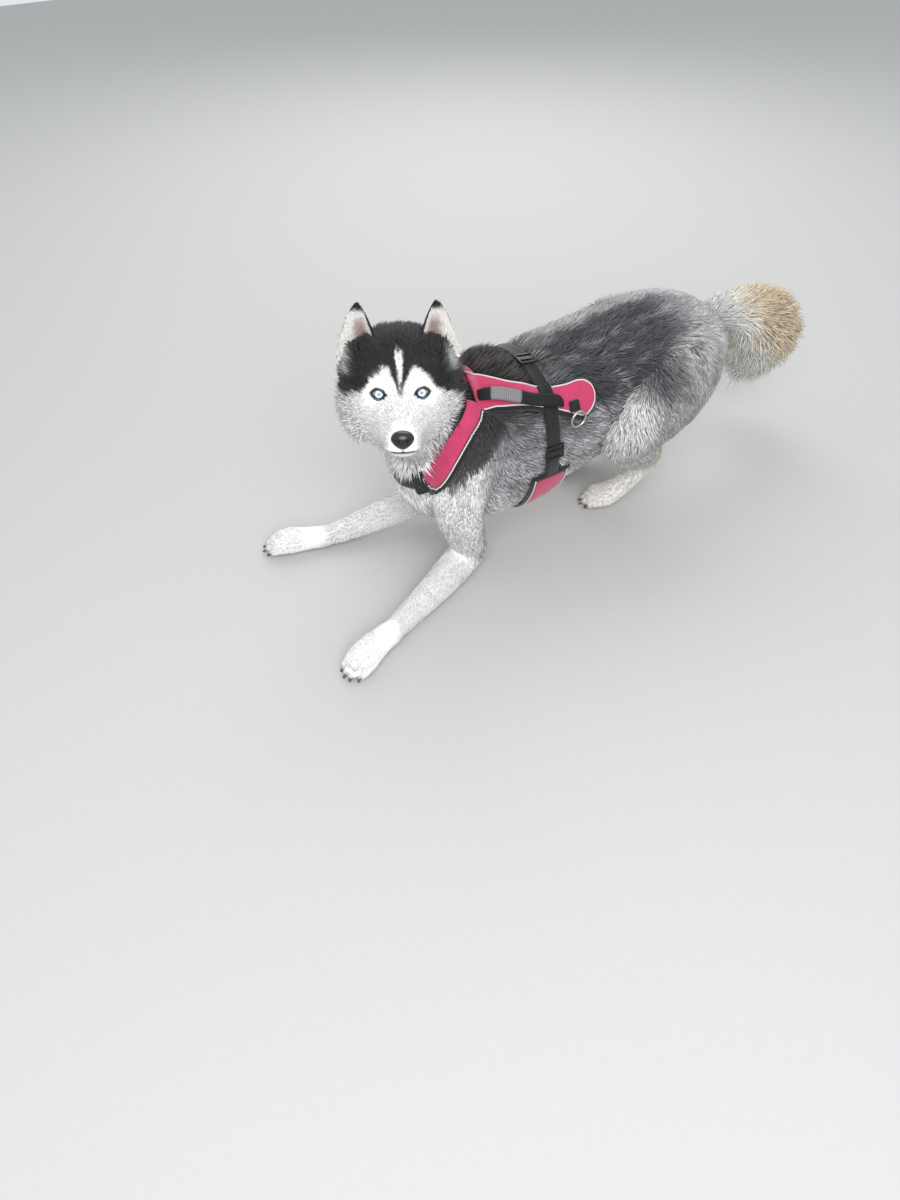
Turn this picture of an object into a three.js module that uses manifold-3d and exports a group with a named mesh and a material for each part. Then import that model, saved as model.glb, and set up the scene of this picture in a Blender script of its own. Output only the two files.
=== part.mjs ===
// A life-size Siberian husky crouched in a play bow, wearing a padded walking harness.
//
// Millimetres, +Z up. The dog faces -X, its left side is at -Y, and the floor is Z = 0.
// Body places are measured from the middle of the line between the two elbows, and the whole
// dog is moved at the end so that the origin is under the middle of its box.
// Each part of the body is a Limb: stations along a path, each with its half sizes, joined by
// smooth curves. Parts that meet are cut by a slightly swollen copy of their neighbour, which
// leaves an even gap between the two faces.

import * as THREE from "three";
import { ParametricGeometry } from "three/addons/geometries/ParametricGeometry.js";
import { mergeVertices } from "three/addons/utils/BufferGeometryUtils.js";
import Module from "manifold-3d";

const wasm = await Module();
wasm.setup();

// Driving dimensions
const GAP = 0.35; // between faces that meet
const BOX_MIDDLE = [216.5, -21]; // middle of the dog's box, from the elbow line
const LEFT = -1; // which way out is, along Y
const RIGHT = 1;
const FLOOR_DEPTH = 60; // of the block that trims whatever dips under the floor
const EYE_RADIUS = 10.5;
const EYE = [5, 29.5, 2.8]; // in the head's own frame: forward, out, up
const LID = { radius: 13.2, half: 9, height: 6, tilt: 0.2, facing: 0.3 };
const NOSE = { forward: 89, up: -31, length: 11, half: 17, height: 12.5 };
const MUZZLE_AXIS_RISE = THREE.MathUtils.degToRad(14);
const HEAD_TURN = THREE.MathUtils.degToRad(62.9); // from straight ahead, to the dog's left
const EYE_MIDDLE = [-130, -57, 370];
const PAD = 4.6; // of the harness's padded pieces, measured from the coat
const WEBBING = 3; // of its plain straps
const STRAP = 27; // width of the shoulder straps
const GIRTH = { x: 105, width: 25 };

// Colours, each as seen in soft daylight
const COLOURS = {
  white: 0xe6e4e0,
  grey: 0x8a8a8e,
  dark: 0x38383d,
  cream: 0xd8bf98,
  black: 0x17171a,
  iris: 0xa9cdea,
  pink: 0xc83e68,
  webbing: 0x1c1f22,
  plastic: 0x141618,
  steel: 0xc9c6bd,
};

const finish = (colour, roughness, metalness = 0) =>
  new THREE.MeshStandardMaterial({ color: COLOURS[colour], roughness, metalness });

const materials = {
  white: finish("white", 0.9),
  grey: finish("grey", 0.9),
  dark: finish("dark", 0.9),
  cream: finish("cream", 0.9),
  black: finish("black", 0.35),
  iris: finish("iris", 0.08),
  pink: finish("pink", 0.85),
  webbing: finish("webbing", 0.8),
  plastic: finish("plastic", 0.4),
  steel: finish("steel", 0.3, 1),
};

// Solids

function manifoldOf(positions, triangles) {
  return new wasm.Manifold(
    new wasm.Mesh({
      numProp: 3,
      vertProperties: positions,
      triVerts: new Uint32Array(triangles),
    }),
  );
}

// A closed geometry as a solid. Triangles that a pole has folded flat are dropped, and a
// surface that was traced the other way round is turned to face out.
function toSolid(geometry) {
  const bare = new THREE.BufferGeometry();
  bare.setAttribute("position", geometry.getAttribute("position"));
  bare.setIndex(geometry.index);
  const merged = mergeVertices(bare, 1e-3);
  const corners = merged.index.array;
  const forwards = [];
  const backwards = [];
  for (let i = 0; i < corners.length; i += 3) {
    const [a, b, c] = corners.slice(i, i + 3);
    if (a === b || b === c || c === a) continue;
    forwards.push(a, b, c);
    backwards.push(a, c, b);
  }
  const positions = merged.attributes.position.array;
  const solid = manifoldOf(positions, forwards);
  return solid.volume() < 0 ? manifoldOf(positions, backwards) : solid;
}

const join = (solids) => solids.reduce((whole, piece) => whole.add(piece));

// Keeps the largest closed surface, with any hollow that joining has sealed filled in.
function largest(solid) {
  const parts = solid.decompose();
  return parts.reduce((best, part) => (part.volume() > best.volume() ? part : best));
}

function block(low, high) {
  const size = new THREE.Vector3().subVectors(high, low);
  const middle = new THREE.Vector3().addVectors(low, high).multiplyScalar(0.5);
  const box = new THREE.BoxGeometry(size.x, size.y, size.z);
  return toSolid(box.translate(middle.x, middle.y, middle.z));
}

const underFloor = block(
  new THREE.Vector3(-700, -500, -FLOOR_DEPTH),
  new THREE.Vector3(1000, 500, 0),
);

function toGeometry(solid) {
  const mesh = solid.getMesh();
  const positions = new Float32Array(mesh.numVert * 3);
  for (let i = 0; i < mesh.numVert; i++) {
    const at = i * mesh.numProp;
    positions.set(mesh.vertProperties.subarray(at, at + 3), i * 3);
  }
  const geometry = new THREE.BufferGeometry();
  geometry.setAttribute("position", new THREE.BufferAttribute(positions, 3));
  geometry.setIndex(new THREE.BufferAttribute(mesh.triVerts, 1));
  geometry.computeVertexNormals();
  return geometry;
}

// Limbs

const vector = (place) => new THREE.Vector3(...place);

// A smooth curve through points, even in its parameter from station to station.
const smooth = (points) => new THREE.CatmullRomCurve3(points, false, "catmullrom", 0.5);

// A rounded form along a path. A station is [x, y, z, half width, half height], measured
// across the path, and squareness above 2 fills out the corners of its section. Sections are
// square to the path, or all keep their height along upwards when they are plumb.
class Limb {
  constructor(stations, { upwards = [0, 0, 1], squareness = 2, plumb = false } = {}) {
    this.path = smooth(stations.map((s) => new THREE.Vector3(s[0], s[1], s[2])));
    this.sizes = smooth(stations.map((s) => new THREE.Vector3(s[3], s[4], 0)));
    this.upwards = vector(upwards);
    this.squareness = squareness;
    this.plumb = plumb;
  }

  // The path's direction with the two directions across it, at v from 0 to 1.
  axes(v) {
    const along = this.path.getTangent(v);
    const side = new THREE.Vector3().crossVectors(along, this.upwards).normalize();
    const square = new THREE.Vector3().crossVectors(side, along).normalize();
    return { along, side, up: this.plumb ? this.upwards : square };
  }

  // The surface at u round the section, from 0 at the top, and v along the path.
  point(u, v, grow = 0, target = new THREE.Vector3()) {
    const { along, side, up } = this.axes(v);
    const centre = this.path.getPoint(v);
    if (v <= 0 || v >= 1) {
      return target.copy(centre).addScaledVector(along, v <= 0 ? -grow : grow);
    }
    const size = this.sizes.getPoint(v);
    const angle = (u % 1) * 2 * Math.PI;
    const across = Math.sin(angle);
    const high = Math.cos(angle);
    const n = this.squareness;
    const reach = (Math.abs(across) ** n + Math.abs(high) ** n) ** (-1 / n);
    return target
      .copy(centre)
      .addScaledVector(side, across * reach * (size.x + grow))
      .addScaledVector(up, high * reach * (size.y + grow));
  }

  normal(u, v) {
    const step = 0.01;
    const here = this.point(u, v);
    const round = this.point(u + step, v).sub(here);
    const along = this.point(u, Math.min(v + step, 0.999)).sub(here);
    const out = new THREE.Vector3().crossVectors(along, round).normalize();
    return out.dot(here.sub(this.path.getPoint(v))) < 0 ? out.negate() : out;
  }

  solid(sides, rings, grow = 0) {
    const surface = (u, v, target) => this.point(u, v, grow, target);
    return toSolid(new ParametricGeometry(surface, sides, rings));
  }
}

// A station's place and sizes from its highest and lowest points and its half width.
const upright = ([x, top, bottom, half]) => [
  x,
  0,
  (top + bottom) / 2,
  half,
  (top - bottom) / 2,
];

const ball = (centre, sizes, grow = 0, sides = 12) =>
  toSolid(
    new THREE.SphereGeometry(1, sides, Math.round(sides * 0.7))
      .scale(...sizes.map((size) => size + grow))
      .translate(...centre),
  );

// A repeatable draw between -1 and 1.
function draws(seed) {
  let state = seed;
  return () => {
    state = (state * 1664525 + 1013904223) % 2 ** 32;
    return state / 2 ** 31 - 1;
  };
}

const LOCK_ROOT = 7; // how far a root is sunk
const LOCK_SIDES = 4;
const LOCK_RINGS = 3;

// A flat tapered lock of hair at u, v on a limb. It rises from the coat's core, bends back
// down along its lie and sways a little to one side.
function lockOn(limb, u, v, { length, half, thick, rise, curl }, lie, draw, grow) {
  const out = limb.normal(u, v);
  const root = limb.point(u, v).addScaledVector(out, -LOCK_ROOT);
  const flow = lie.clone().addScaledVector(out, -lie.dot(out)).normalize();
  const side = new THREE.Vector3().crossVectors(flow, out);
  const reach = length * (1 + 0.15 * draw());
  const sway = 0.18 * draw();
  const surface = (turn, t, target) => {
    target
      .copy(root)
      .addScaledVector(flow, reach * t * Math.cos(rise))
      .addScaledVector(out, reach * t * (Math.sin(rise) - curl * t))
      .addScaledVector(side, reach * sway * t * t);
    if (t <= 0 || t >= 1) return target;
    const angle = (turn % 1) * 2 * Math.PI;
    const width = half * (0.6 + 1.3 * t - 1.7 * t * t);
    return target
      .addScaledVector(side, Math.cos(angle) * (width + grow))
      .addScaledVector(out, Math.sin(angle) * (thick * (1 - 0.6 * t) + grow));
  };
  return toSolid(new ParametricGeometry(surface, LOCK_SIDES, LOCK_RINGS));
}

// Rows of locks round a limb, each turned half a lock from the last. A row is [v, count], with
// its own rise where it differs, and span is the part of the turn that it fills.
function rowsOfLocks(limb, { rows, lock, seed, span = [0, 1], lieAt }, grow = 0) {
  const draw = draws(seed);
  const [from, to] = span;
  return rows.flatMap(([v, count, rise = lock.rise], row) =>
    Array.from({ length: count }, (_, i) => {
      const place = (i + 0.5 + 0.25 * (row % 2 ? 1 : -1) + 0.15 * draw()) / count;
      const u = from + (to - from) * place;
      return lockOn(limb, u, v, { ...lock, rise }, lieAt(v), draw, grow);
    }),
  );
}

// The trunk

const TORSO = new Limb(
  [
    [-110, 212, 174, 14],
    [-100, 246, 142, 44],
    [-80, 282, 112, 71],
    [-46, 308, 90, 92],
    [-8, 328, 75, 105],
    [34, 344, 70, 111],
    [66, 349, 73, 113],
    [104, 333, 80, 112],
    [145, 343, 90, 112],
    [205, 350, 108, 109],
    [265, 357, 128, 104],
    [325, 362, 146, 101],
    [380, 361, 156, 100],
    [430, 350, 164, 96],
    [475, 328, 178, 80],
    [508, 300, 198, 54],
    [524, 272, 224, 20],
  ].map(upright),
  { squareness: 2.15, plumb: true },
);

const NECK = new Limb([
  [40, 0, 205, 60, 60],
  [15, 0, 230, 90, 84],
  [-20, 2, 258, 88, 84],
  [-54, 8, 290, 82, 80],
  [-80, 15, 320, 74, 76],
  [-92, 18, 345, 50, 55],
]);

// The tail's stations give the reach of its brush. Its core is thinner, and locks fill the rest.
const TAIL_STATIONS = [
  [470, 0, 268, 20, 22],
  [500, 0, 285, 30, 30],
  [548, -2, 290, 42, 38],
  [600, -2, 274, 56, 52],
  [652, 3, 238, 66, 64],
  [680, 20, 194, 62, 62],
  [688, 38, 154, 46, 48],
  [690, 52, 126, 14, 16],
];
const TAIL_CORE = [1, 0.8, 0.55, 0.5, 0.5, 0.5, 0.45, 0.45];
const TAIL = new Limb(
  TAIL_STATIONS.map(([x, y, z, half, height], i) => [
    x,
    y,
    z,
    half * TAIL_CORE[i],
    height * TAIL_CORE[i],
  ]),
  { upwards: [0.6, 0, 1] },
);

const BRUSH = {
  rows: [
    [0.28, 5, 0.4],
    [0.41, 7, 0.6],
    [0.53, 7],
    [0.64, 7],
    [0.76, 6],
    [0.88, 5],
  ],
  lock: { length: 86, half: 19, thick: 3, rise: 0.7, curl: 0.2 },
  seed: 11,
  lieAt: (v) => TAIL.axes(v).along,
};

// The ruff lies from the head back towards the trunk, and hangs.
const RUFF = {
  rows: [
    [0.86, 9],
    [0.66, 11],
  ],
  lock: { length: 58, half: 19, thick: 3, rise: 0.24, curl: 0.18 },
  seed: 23,
  lieAt: (v) => NECK.axes(v).along.negate().add(new THREE.Vector3(0.35, 0, -0.6)),
};

// Legs. The sizes are shared and each side has its own path, whose Y is the distance out.

const LEGS = {
  upper_arm: {
    upwards: [-1, 0, 0],
    sizes: [[22, 30], [36, 54], [41, 54], [37, 44], [32, 36], [27, 28], [17, 18]],
    left: [
      [26, 52, 296],
      [0, 66, 258],
      [-36, 74, 205],
      [-46, 78, 150],
      [-36, 76, 98],
      [-18, 70, 48],
      [-8, 66, 26],
    ],
    right: [
      [26, 52, 296],
      [0, 66, 258],
      [-36, 74, 205],
      [-48, 80, 155],
      [-38, 82, 110],
      [-22, 80, 70],
      [-14, 78, 50],
    ],
  },
  forearm: {
    sizes: [[14, 14], [27, 28], [28, 29], [25, 26], [22, 23], [20, 20], [17, 17]],
    left: [
      [4, 48, 30],
      [-14, 58, 30],
      [-58, 82, 28],
      [-108, 106, 25],
      [-150, 124, 22],
      [-190, 141, 20],
      [-214, 150, 20],
    ],
    right: [
      [6, 76, 58],
      [-14, 78, 55],
      [-52, 84, 48],
      [-100, 91, 38],
      [-145, 98, 29],
      [-185, 106, 21],
      [-206, 111, 20],
    ],
  },
  forepaw: {
    sizes: [[14, 13], [19, 19], [23, 20], [26, 21], [24, 18], [16, 12]],
    left: [
      [-186, 140, 20],
      [-210, 149, 20],
      [-240, 160, 20],
      [-266, 171, 20],
      [-286, 180, 17],
      [-298, 185, 15],
    ],
    right: [
      [-182, 105, 21],
      [-206, 111, 20],
      [-234, 120, 20],
      [-258, 129, 20],
      [-279, 138, 17],
      [-291, 143, 15],
    ],
  },
  thigh: {
    sizes: [[20, 28], [46, 68], [54, 80], [54, 76], [50, 62], [42, 46], [24, 24]],
    left: [
      [468, 40, 250],
      [432, 62, 260],
      [385, 80, 252],
      [335, 92, 236],
      [285, 102, 214],
      [250, 108, 192],
      [228, 108, 176],
    ],
    right: [
      [468, 40, 244],
      [432, 62, 252],
      [385, 80, 243],
      [335, 92, 228],
      [285, 102, 208],
      [252, 108, 188],
      [232, 108, 174],
    ],
  },
  shank: {
    sizes: [[14, 16], [32, 34], [34, 40], [28, 32], [20, 23], [12, 12]],
    left: [
      [236, 106, 182],
      [256, 104, 174],
      [292, 96, 152],
      [328, 84, 126],
      [356, 72, 102],
      [370, 66, 88],
    ],
    right: [
      [240, 106, 180],
      [262, 104, 172],
      [304, 100, 150],
      [348, 94, 124],
      [380, 88, 100],
      [396, 84, 86],
    ],
  },
  hind_foot: {
    sizes: [[10, 12], [18, 19], [17, 18], [19, 19], [24, 21], [25, 19], [15, 12]],
    left: [
      [378, 67, 96],
      [364, 66, 86],
      [338, 63, 62],
      [314, 57, 40],
      [292, 48, 22],
      [271, 40, 18],
      [257, 33, 14],
    ],
    right: [
      [404, 84, 94],
      [390, 83, 84],
      [362, 82, 61],
      [334, 80, 40],
      [306, 76, 22],
      [284, 72, 18],
      [268, 70, 14],
    ],
  },
};

function leg(name, side) {
  const { sizes, upwards } = LEGS[name];
  const out = side === "left" ? LEFT : RIGHT;
  const stations = LEGS[name][side].map(([x, y, z], i) => [x, out * y, z, ...sizes[i]]);
  return new Limb(stations, { upwards, squareness: 2.15 });
}

// Longer hair hangs from the back of each thigh.
const BREECHES = {
  rows: [
    [0.1, 3],
    [0.22, 3],
    [0.36, 2],
  ],
  lock: { length: 58, half: 18, thick: 3, rise: 0.3, curl: 0.12 },
  lieAt: () => new THREE.Vector3(0.7, 0, -0.7),
};
const BREECH_SPAN = { left: [0.46, 0.74], right: [0.26, 0.54] };

// Toes lie side by side at the end of a paw, the middle two furthest forward.
const TOES = [-1.5, -0.5, 0.5, 1.5];

function toes(paw, { spread, radius, reach }) {
  const tip = paw.path.getPoint(1);
  const { along, side } = paw.axes(0.9);
  const level = new THREE.Vector3(along.x, along.y, 0).normalize();
  const across = new THREE.Vector3(side.x, side.y, 0).normalize();
  return TOES.flatMap((place) => {
    const forward = reach - Math.abs(place) * 7;
    const root = tip.clone().addScaledVector(across, place * spread);
    const at = (step, height) => {
      const point = root.clone().addScaledVector(level, step);
      return [point.x, point.y, height];
    };
    const toe = new Limb([
      [...at(forward - 44, 17), radius * 0.7, radius * 0.7],
      [...at(forward - 32, 17), radius, radius * 1.1],
      [...at(forward - 14, 14.5), radius * 1.05, radius * 1.15],
      [...at(forward - 4, 11), radius * 0.85, radius * 0.85],
      [...at(forward, 9), radius * 0.3, radius * 0.3],
    ]);
    const claw = new Limb([
      [...at(forward - 8, 11), 2, 2],
      [...at(forward - 4, 11), 3.4, 3.4],
      [...at(forward + 3, 8.5), 2.2, 2.6],
      [...at(forward + 8, 4.5), 0.7, 0.7],
    ]);
    return [toe.solid(6, 3), claw.solid(4, 2)];
  });
}

// The head's own frame: forward along the muzzle, out to the dog's left, and up.

const forwards = new THREE.Vector3(
  -Math.cos(MUZZLE_AXIS_RISE) * Math.cos(HEAD_TURN),
  -Math.cos(MUZZLE_AXIS_RISE) * Math.sin(HEAD_TURN),
  Math.sin(MUZZLE_AXIS_RISE),
);
const toLeft = new THREE.Vector3(0, 0, 1).cross(forwards).normalize();
const crown = new THREE.Vector3().crossVectors(forwards, toLeft);
const headFrame = new THREE.Matrix4()
  .makeBasis(forwards, toLeft, crown)
  .setPosition(vector(EYE_MIDDLE));
const inHead = (solid) => solid.transform(headFrame.elements);

const SKULL = new Limb(
  [
    [-116, 14, -24, 24],
    [-102, 50, -60, 60],
    [-80, 75, -80, 80],
    [-55, 81, -87, 86],
    [-32, 71, -86, 80],
    [-13, 50, -81, 67],
    [1, 31, -76, 55],
    [14, 13, -72, 45],
    [30, 1, -69, 37],
    [48, -7, -67, 31],
    [65, -13, -65, 27],
    [79, -18, -61, 24],
    [88, -24, -53, 17],
    [93, -32, -44, 6],
  ].map(upright),
  { squareness: 2.2, plumb: true },
);

const BROW = { centre: [-9, 27, 20], sizes: [13, 18, 11] };
const EAR_ROOT = { centre: [-64, 53, 26], sizes: [27, 28, 34] };

// The line of the mouth, from the front to its corner: [forward, up].
const MOUTH = [
  [100, -51],
  [80, -53],
  [55, -57],
  [32, -60],
  [12, -56],
];
const MOUTH_DEPTH = 7;
const MOUTH_OPEN = 1.6;

// A thin sheet through the muzzle along the line of the mouth.
function mouthSheet() {
  const line = smooth(MOUTH.map(([forward, up]) => new THREE.Vector3(forward, 0, up)));
  const surface = (u, v, target) => {
    const angle = (u % 1) * 2 * Math.PI;
    line.getPoint(v, target);
    if (v <= 0 || v >= 1) return target;
    target.y += 70 * Math.cos(angle);
    target.z += MOUTH_OPEN * Math.sin(angle);
    return target;
  };
  return toSolid(new ParametricGeometry(surface, 4, 9));
}

// The surface of the muzzle beside the mouth, at a forward place and height.
function muzzleSide(forward, up, out, lift) {
  const nearest = (low, high) => {
    const middle = (low + high) / 2;
    if (high - low < 1e-4) return middle;
    return SKULL.path.getPoint(middle).x < forward
      ? nearest(middle, high)
      : nearest(low, middle);
  };
  const v = nearest(0, 1);
  const centre = SKULL.path.getPoint(v);
  const size = SKULL.sizes.getPoint(v);
  const height = THREE.MathUtils.clamp((up - centre.z) / size.y, -0.96, 0.96);
  const n = SKULL.squareness;
  const half = size.x * (1 - Math.abs(height) ** n) ** (1 / n);
  return new THREE.Vector3(forward, out * (half + lift), up);
}

// Upper lip: a soft roll along the mouth's line, down both sides of the muzzle.
function lips() {
  const places = [
    [86, -50],
    [72, -51.5],
    [52, -55],
    [32, -57.5],
    [14, -54],
  ];
  const left = places.map(([forward, up]) => muzzleSide(forward, up, LEFT, -0.5));
  const right = places.map(([forward, up]) => muzzleSide(forward, up, RIGHT, -0.5));
  const front = new THREE.Vector3(91, 0, -48.5);
  const points = [...left.reverse(), front, ...right];
  const sizes = points.map((_, i) => (i === 0 || i === points.length - 1 ? 1.2 : 3));
  const stations = points.map((p, i) => [p.x, p.y, p.z, sizes[i], sizes[i]]);
  return new Limb(stations).solid(6, 12);
}

// The opening between the lids: a lens with sharp corners, the outer one higher.
function lidOpening(out) {
  const facing = new THREE.Vector3(Math.cos(LID.facing), out * Math.sin(LID.facing), 0);
  const across = new THREE.Vector3(-facing.y * out, facing.x * out, 0);
  const stations = [-1, -0.75, -0.4, 0, 0.4, 0.75, 1].map((t) => {
    const middle = vector(eyeCentre(out))
      .addScaledVector(facing, LID.radius)
      .addScaledVector(across, t * LID.half);
    return [
      middle.x,
      middle.y,
      middle.z + t * LID.half * LID.tilt,
      8,
      Math.max(LID.height * (1 - t * t), 0.6),
    ];
  });
  return new Limb(stations).solid(10, 8);
}

const eyeCentre = (out) => [EYE[0], out * EYE[1], EYE[2]];
const eyeball = (out, grow = 0) => ball(eyeCentre(out), Array(3).fill(EYE_RADIUS), grow, 12);

function nosePad(grow = 0) {
  const { forward, up, length, half, height } = NOSE;
  const pad = ball([forward, 0, up], [length, half, height], grow, 12);
  const bridge = ball([forward - 6, 0, up + 6], [9, 14, 7], grow, 8);
  return pad.add(bridge);
}

function nostrils() {
  const { forward, up } = NOSE;
  return join(
    [LEFT, RIGHT].flatMap((out) => [
      ball([forward + 9, out * 6.8, up - 0.5], [5, 3.6, 3.2], 0, 7),
      ball([forward + 5, out * 12, up - 3], [5, 5, 1.5], 0, 6),
    ]),
  );
}

// An ear is an upright leaf whose sides curl forward into a cup.
const EAR = { base: [-52, 50, 34], tip: [-60, 54, 112], half: 36, cup: 26, turn: 0.35 };

function ear(out, grow = 0) {
  const base = new THREE.Vector3(EAR.base[0], out * EAR.base[1], EAR.base[2]);
  const tip = new THREE.Vector3(EAR.tip[0], out * EAR.tip[1], EAR.tip[2]);
  const back = new THREE.Vector3(-Math.cos(EAR.turn), -out * Math.sin(EAR.turn), 0);
  const across = new THREE.Vector3(-Math.sin(EAR.turn), out * Math.cos(EAR.turn), 0);
  const surface = (u, v, target) => {
    target.lerpVectors(base, tip, v);
    if (v <= 0 || v >= 1) return target.z += v <= 0 ? -grow : grow, target;
    const angle = (u % 1) * 2 * Math.PI;
    const half = EAR.half * (1 - v) ** 0.72 * (1 + 0.3 * v) + grow;
    const cup = EAR.cup * (1 - v) ** 0.8 + 2;
    const wall = 7 * (1 - v) + 4 + 2 * grow;
    const bulge = Math.sin(angle) ** 2;
    const depth = Math.sin(angle) > 0 ? grow : grow - wall * -Math.sin(angle);
    return target
      .addScaledVector(across, Math.cos(angle) * half)
      .addScaledVector(back, cup * bulge - cup * 0.5 + depth);
  };
  return toSolid(new ParametricGeometry(surface, 16, 9));
}

// The head's whole outside, plain: the skull with its brows, lids and the fur under the ears.
function headShape(grow = 0) {
  const swellings = [LEFT, RIGHT].flatMap((out) => {
    const swell = ({ centre: [forward, across, up], sizes }) =>
      ball([forward, out * across, up], sizes, grow, 8);
    return [swell(BROW), swell(EAR_ROOT), ball(eyeCentre(out), Array(3).fill(LID.radius), grow, 12)];
  });
  return join([SKULL.solid(22, 22, grow), ...swellings]);
}

// The cheeks' fringe, down each side from below the ear to the throat.
const CHEEK = {
  rows: [
    [0.16, 5],
    [0.22, 5],
    [0.29, 4],
  ],
  lock: { length: 52, half: 15, thick: 2.6, rise: 0.32, curl: 0.12 },
  span: [0.19, 0.43],
};

const cheekLocks = (grow = 0) =>
  [LEFT, RIGHT].flatMap((out) => {
    const span = out === RIGHT ? CHEEK.span.map((u) => 1 - u) : CHEEK.span;
    const lieAt = () => new THREE.Vector3(-0.6, 0.45 * out, -0.65);
    return rowsOfLocks(SKULL, { ...CHEEK, seed: 33 + out, span, lieAt }, grow);
  });

function headSolid() {
  const inner = SKULL.solid(16, 13, -MOUTH_DEPTH);
  const eyes = [LEFT, RIGHT].flatMap((out) => [eyeball(out, GAP), lidOpening(out)]);
  return join([headShape(), lips()])
    .subtract(mouthSheet().subtract(inner))
    .subtract(join(eyes))
    .subtract(nosePad(GAP));
}

// Flesh nodes, each cut by the swollen neighbours that come before it

const trunkShape = (grow = 0) => TORSO.solid(24, 22, grow);
const neckShape = (grow = 0) => NECK.solid(20, 8, grow);
const headSwollen = inHead(headShape(GAP));
const trunkSwollen = trunkShape(GAP);

const FORE_TOES = { spread: 11.5, radius: 7.8, reach: 12 };
const HIND_TOES = { spread: 11, radius: 7.6, reach: 12 };

const flesh = [
  ["torso", trunkShape().subtract(headSwollen), materials.grey],
  ["tail", join([TAIL.solid(12, 14), ...rowsOfLocks(TAIL, BRUSH)]).subtract(trunkSwollen), materials.cream],
  ["nose", inHead(nosePad().subtract(nostrils())), materials.black],
];

const upperArms = [];

for (const [side, out] of [
  ["left", LEFT],
  ["right", RIGHT],
]) {
  const limbs = Object.fromEntries(Object.keys(LEGS).map((name) => [name, leg(name, side)]));
  const whole = (name, grow = 0) => limbs[name].solid(14, 9, grow);
  const foot = (name) => limbs[name].solid(12, 7);
  const cover = trunkSwollen.add(neckShape(GAP)).add(headSwollen);
  const forepaw = join([foot("forepaw"), ...toes(limbs.forepaw, FORE_TOES)]);
  const hindFoot = join([foot("hind_foot"), ...toes(limbs.hind_foot, HIND_TOES)]);
  const breeches = { ...BREECHES, seed: 42 + out, span: BREECH_SPAN[side] };
  const thigh = join([whole("thigh"), ...rowsOfLocks(limbs.thigh, breeches)]);
  const forearm = whole("forearm").subtract(whole("upper_arm", GAP));
  const shank = whole("shank").subtract(whole("thigh", GAP));
  flesh.push(
    [`upper_arm_${side}`, whole("upper_arm").subtract(cover), materials.grey],
    [`forearm_${side}`, forearm.subtract(trunkSwollen), materials.white],
    [`forepaw_${side}`, forepaw.subtract(whole("forearm", GAP)), materials.white],
    [`thigh_${side}`, thigh.subtract(trunkSwollen), materials.grey],
    [`shank_${side}`, shank.subtract(trunkSwollen), materials.grey],
    [`hind_foot_${side}`, hindFoot.subtract(whole("shank", GAP)), materials.white],
    [`ear_${side}`, inHead(ear(-out).subtract(headShape(GAP))), materials.dark],
    [`eye_${side}`, inHead(eyeball(-out)), materials.iris],
  );
  upperArms.push(limbs.upper_arm);
}

// The harness. Its flat pieces are cut from thin layers that follow the coat all round.

const armsShape = (grow) => join(upperArms.map((limb) => limb.solid(14, 9, grow)));
const coatShape = (grow) => join([trunkShape(grow), neckShape(grow), armsShape(grow)]);

const layer = (inner, outer) =>
  coatShape(outer).subtract(coatShape(inner)).subtract(inHead(headShape(GAP * 2)));

// A smooth closed outline through points, moved outwards by grow.
function outline(points, count, grow = 0) {
  const places = points.map(([x, y]) => new THREE.Vector3(x, y, 0));
  const line = new THREE.CatmullRomCurve3(places, true, "catmullrom", 0.5);
  return Array.from({ length: count }, (_, i) => {
    const at = line.getPoint(i / count);
    const along = line.getTangent(i / count);
    return [at.x - along.y * grow, at.y + along.x * grow];
  });
}

const rectangle = (width, height) => [
  [-width / 2, -height / 2],
  [width / 2, -height / 2],
  [width / 2, height / 2],
  [-width / 2, height / 2],
];

// An outline, with any holes, pushed both ways from its middle along the way it faces.
function prism(edge, { middle, facing, upwards }, reach, holes = []) {
  const depth = vector(facing).normalize();
  const across = new THREE.Vector3().crossVectors(vector(upwards), depth).normalize();
  const up = new THREE.Vector3().crossVectors(depth, across);
  const flat = (points) => points.map(([x, y]) => new THREE.Vector2(x, y));
  const shape = new THREE.Shape(flat(edge));
  shape.holes = holes.map((hole) => new THREE.Path(flat(hole)));
  const extruded = new THREE.ExtrudeGeometry(shape, { depth: 2 * reach, bevelEnabled: false });
  const frame = new THREE.Matrix4().makeBasis(across, up, depth).setPosition(vector(middle));
  extruded.translate(0, 0, -reach).applyMatrix4(frame);
  const bare = new THREE.BufferGeometry();
  bare.setAttribute("position", extruded.getAttribute("position"));
  return toSolid(mergeVertices(bare, 1e-4));
}

const slab = (middle, normal, width) =>
  prism(
    rectangle(width, 900),
    { middle, facing: [normal[2], 0, -normal[0]], upwards: [0, 1, 0] },
    450,
  );

const region = (low, high) => block(vector(low), vector(high));

// The pad on the back has slipped towards the dog's left. Its outline is seen square on, with
// the tail towards +x.
const PANEL = { middle: [95, -84, 304], facing: [0, -0.643, 0.766], upwards: [0, 0.766, 0.643] };
const PANEL_EDGE = [
  [-104, 38],
  [-99, 56],
  [-82, 60],
  [-50, 40],
  [-12, 19],
  [22, 8],
  [46, 8],
  [66, 4],
  [82, -6],
  [91, -22],
  [88, -36],
  [76, -45],
  [60, -47],
  [42, -40],
  [22, -29],
  [-6, -14],
  [-44, 0],
  [-84, 9],
  [-99, 16],
  [-104, 26],
];
const panelPrism = (grow = 0) => prism(outline(PANEL_EDGE, 32, grow), PANEL, 90);

const NECK_RING = { middle: [-49, 0, 274], normal: [0.79, 0, -0.613] };
const CHEST_STRAP_TOP = 204;
const SADDLE_LINE = -45; // the two shoulder straps, and the two girth straps, part here
const BELLY_PAD = { length: 74, left: 178, right: 158 }; // and how high it comes up each side

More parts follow.
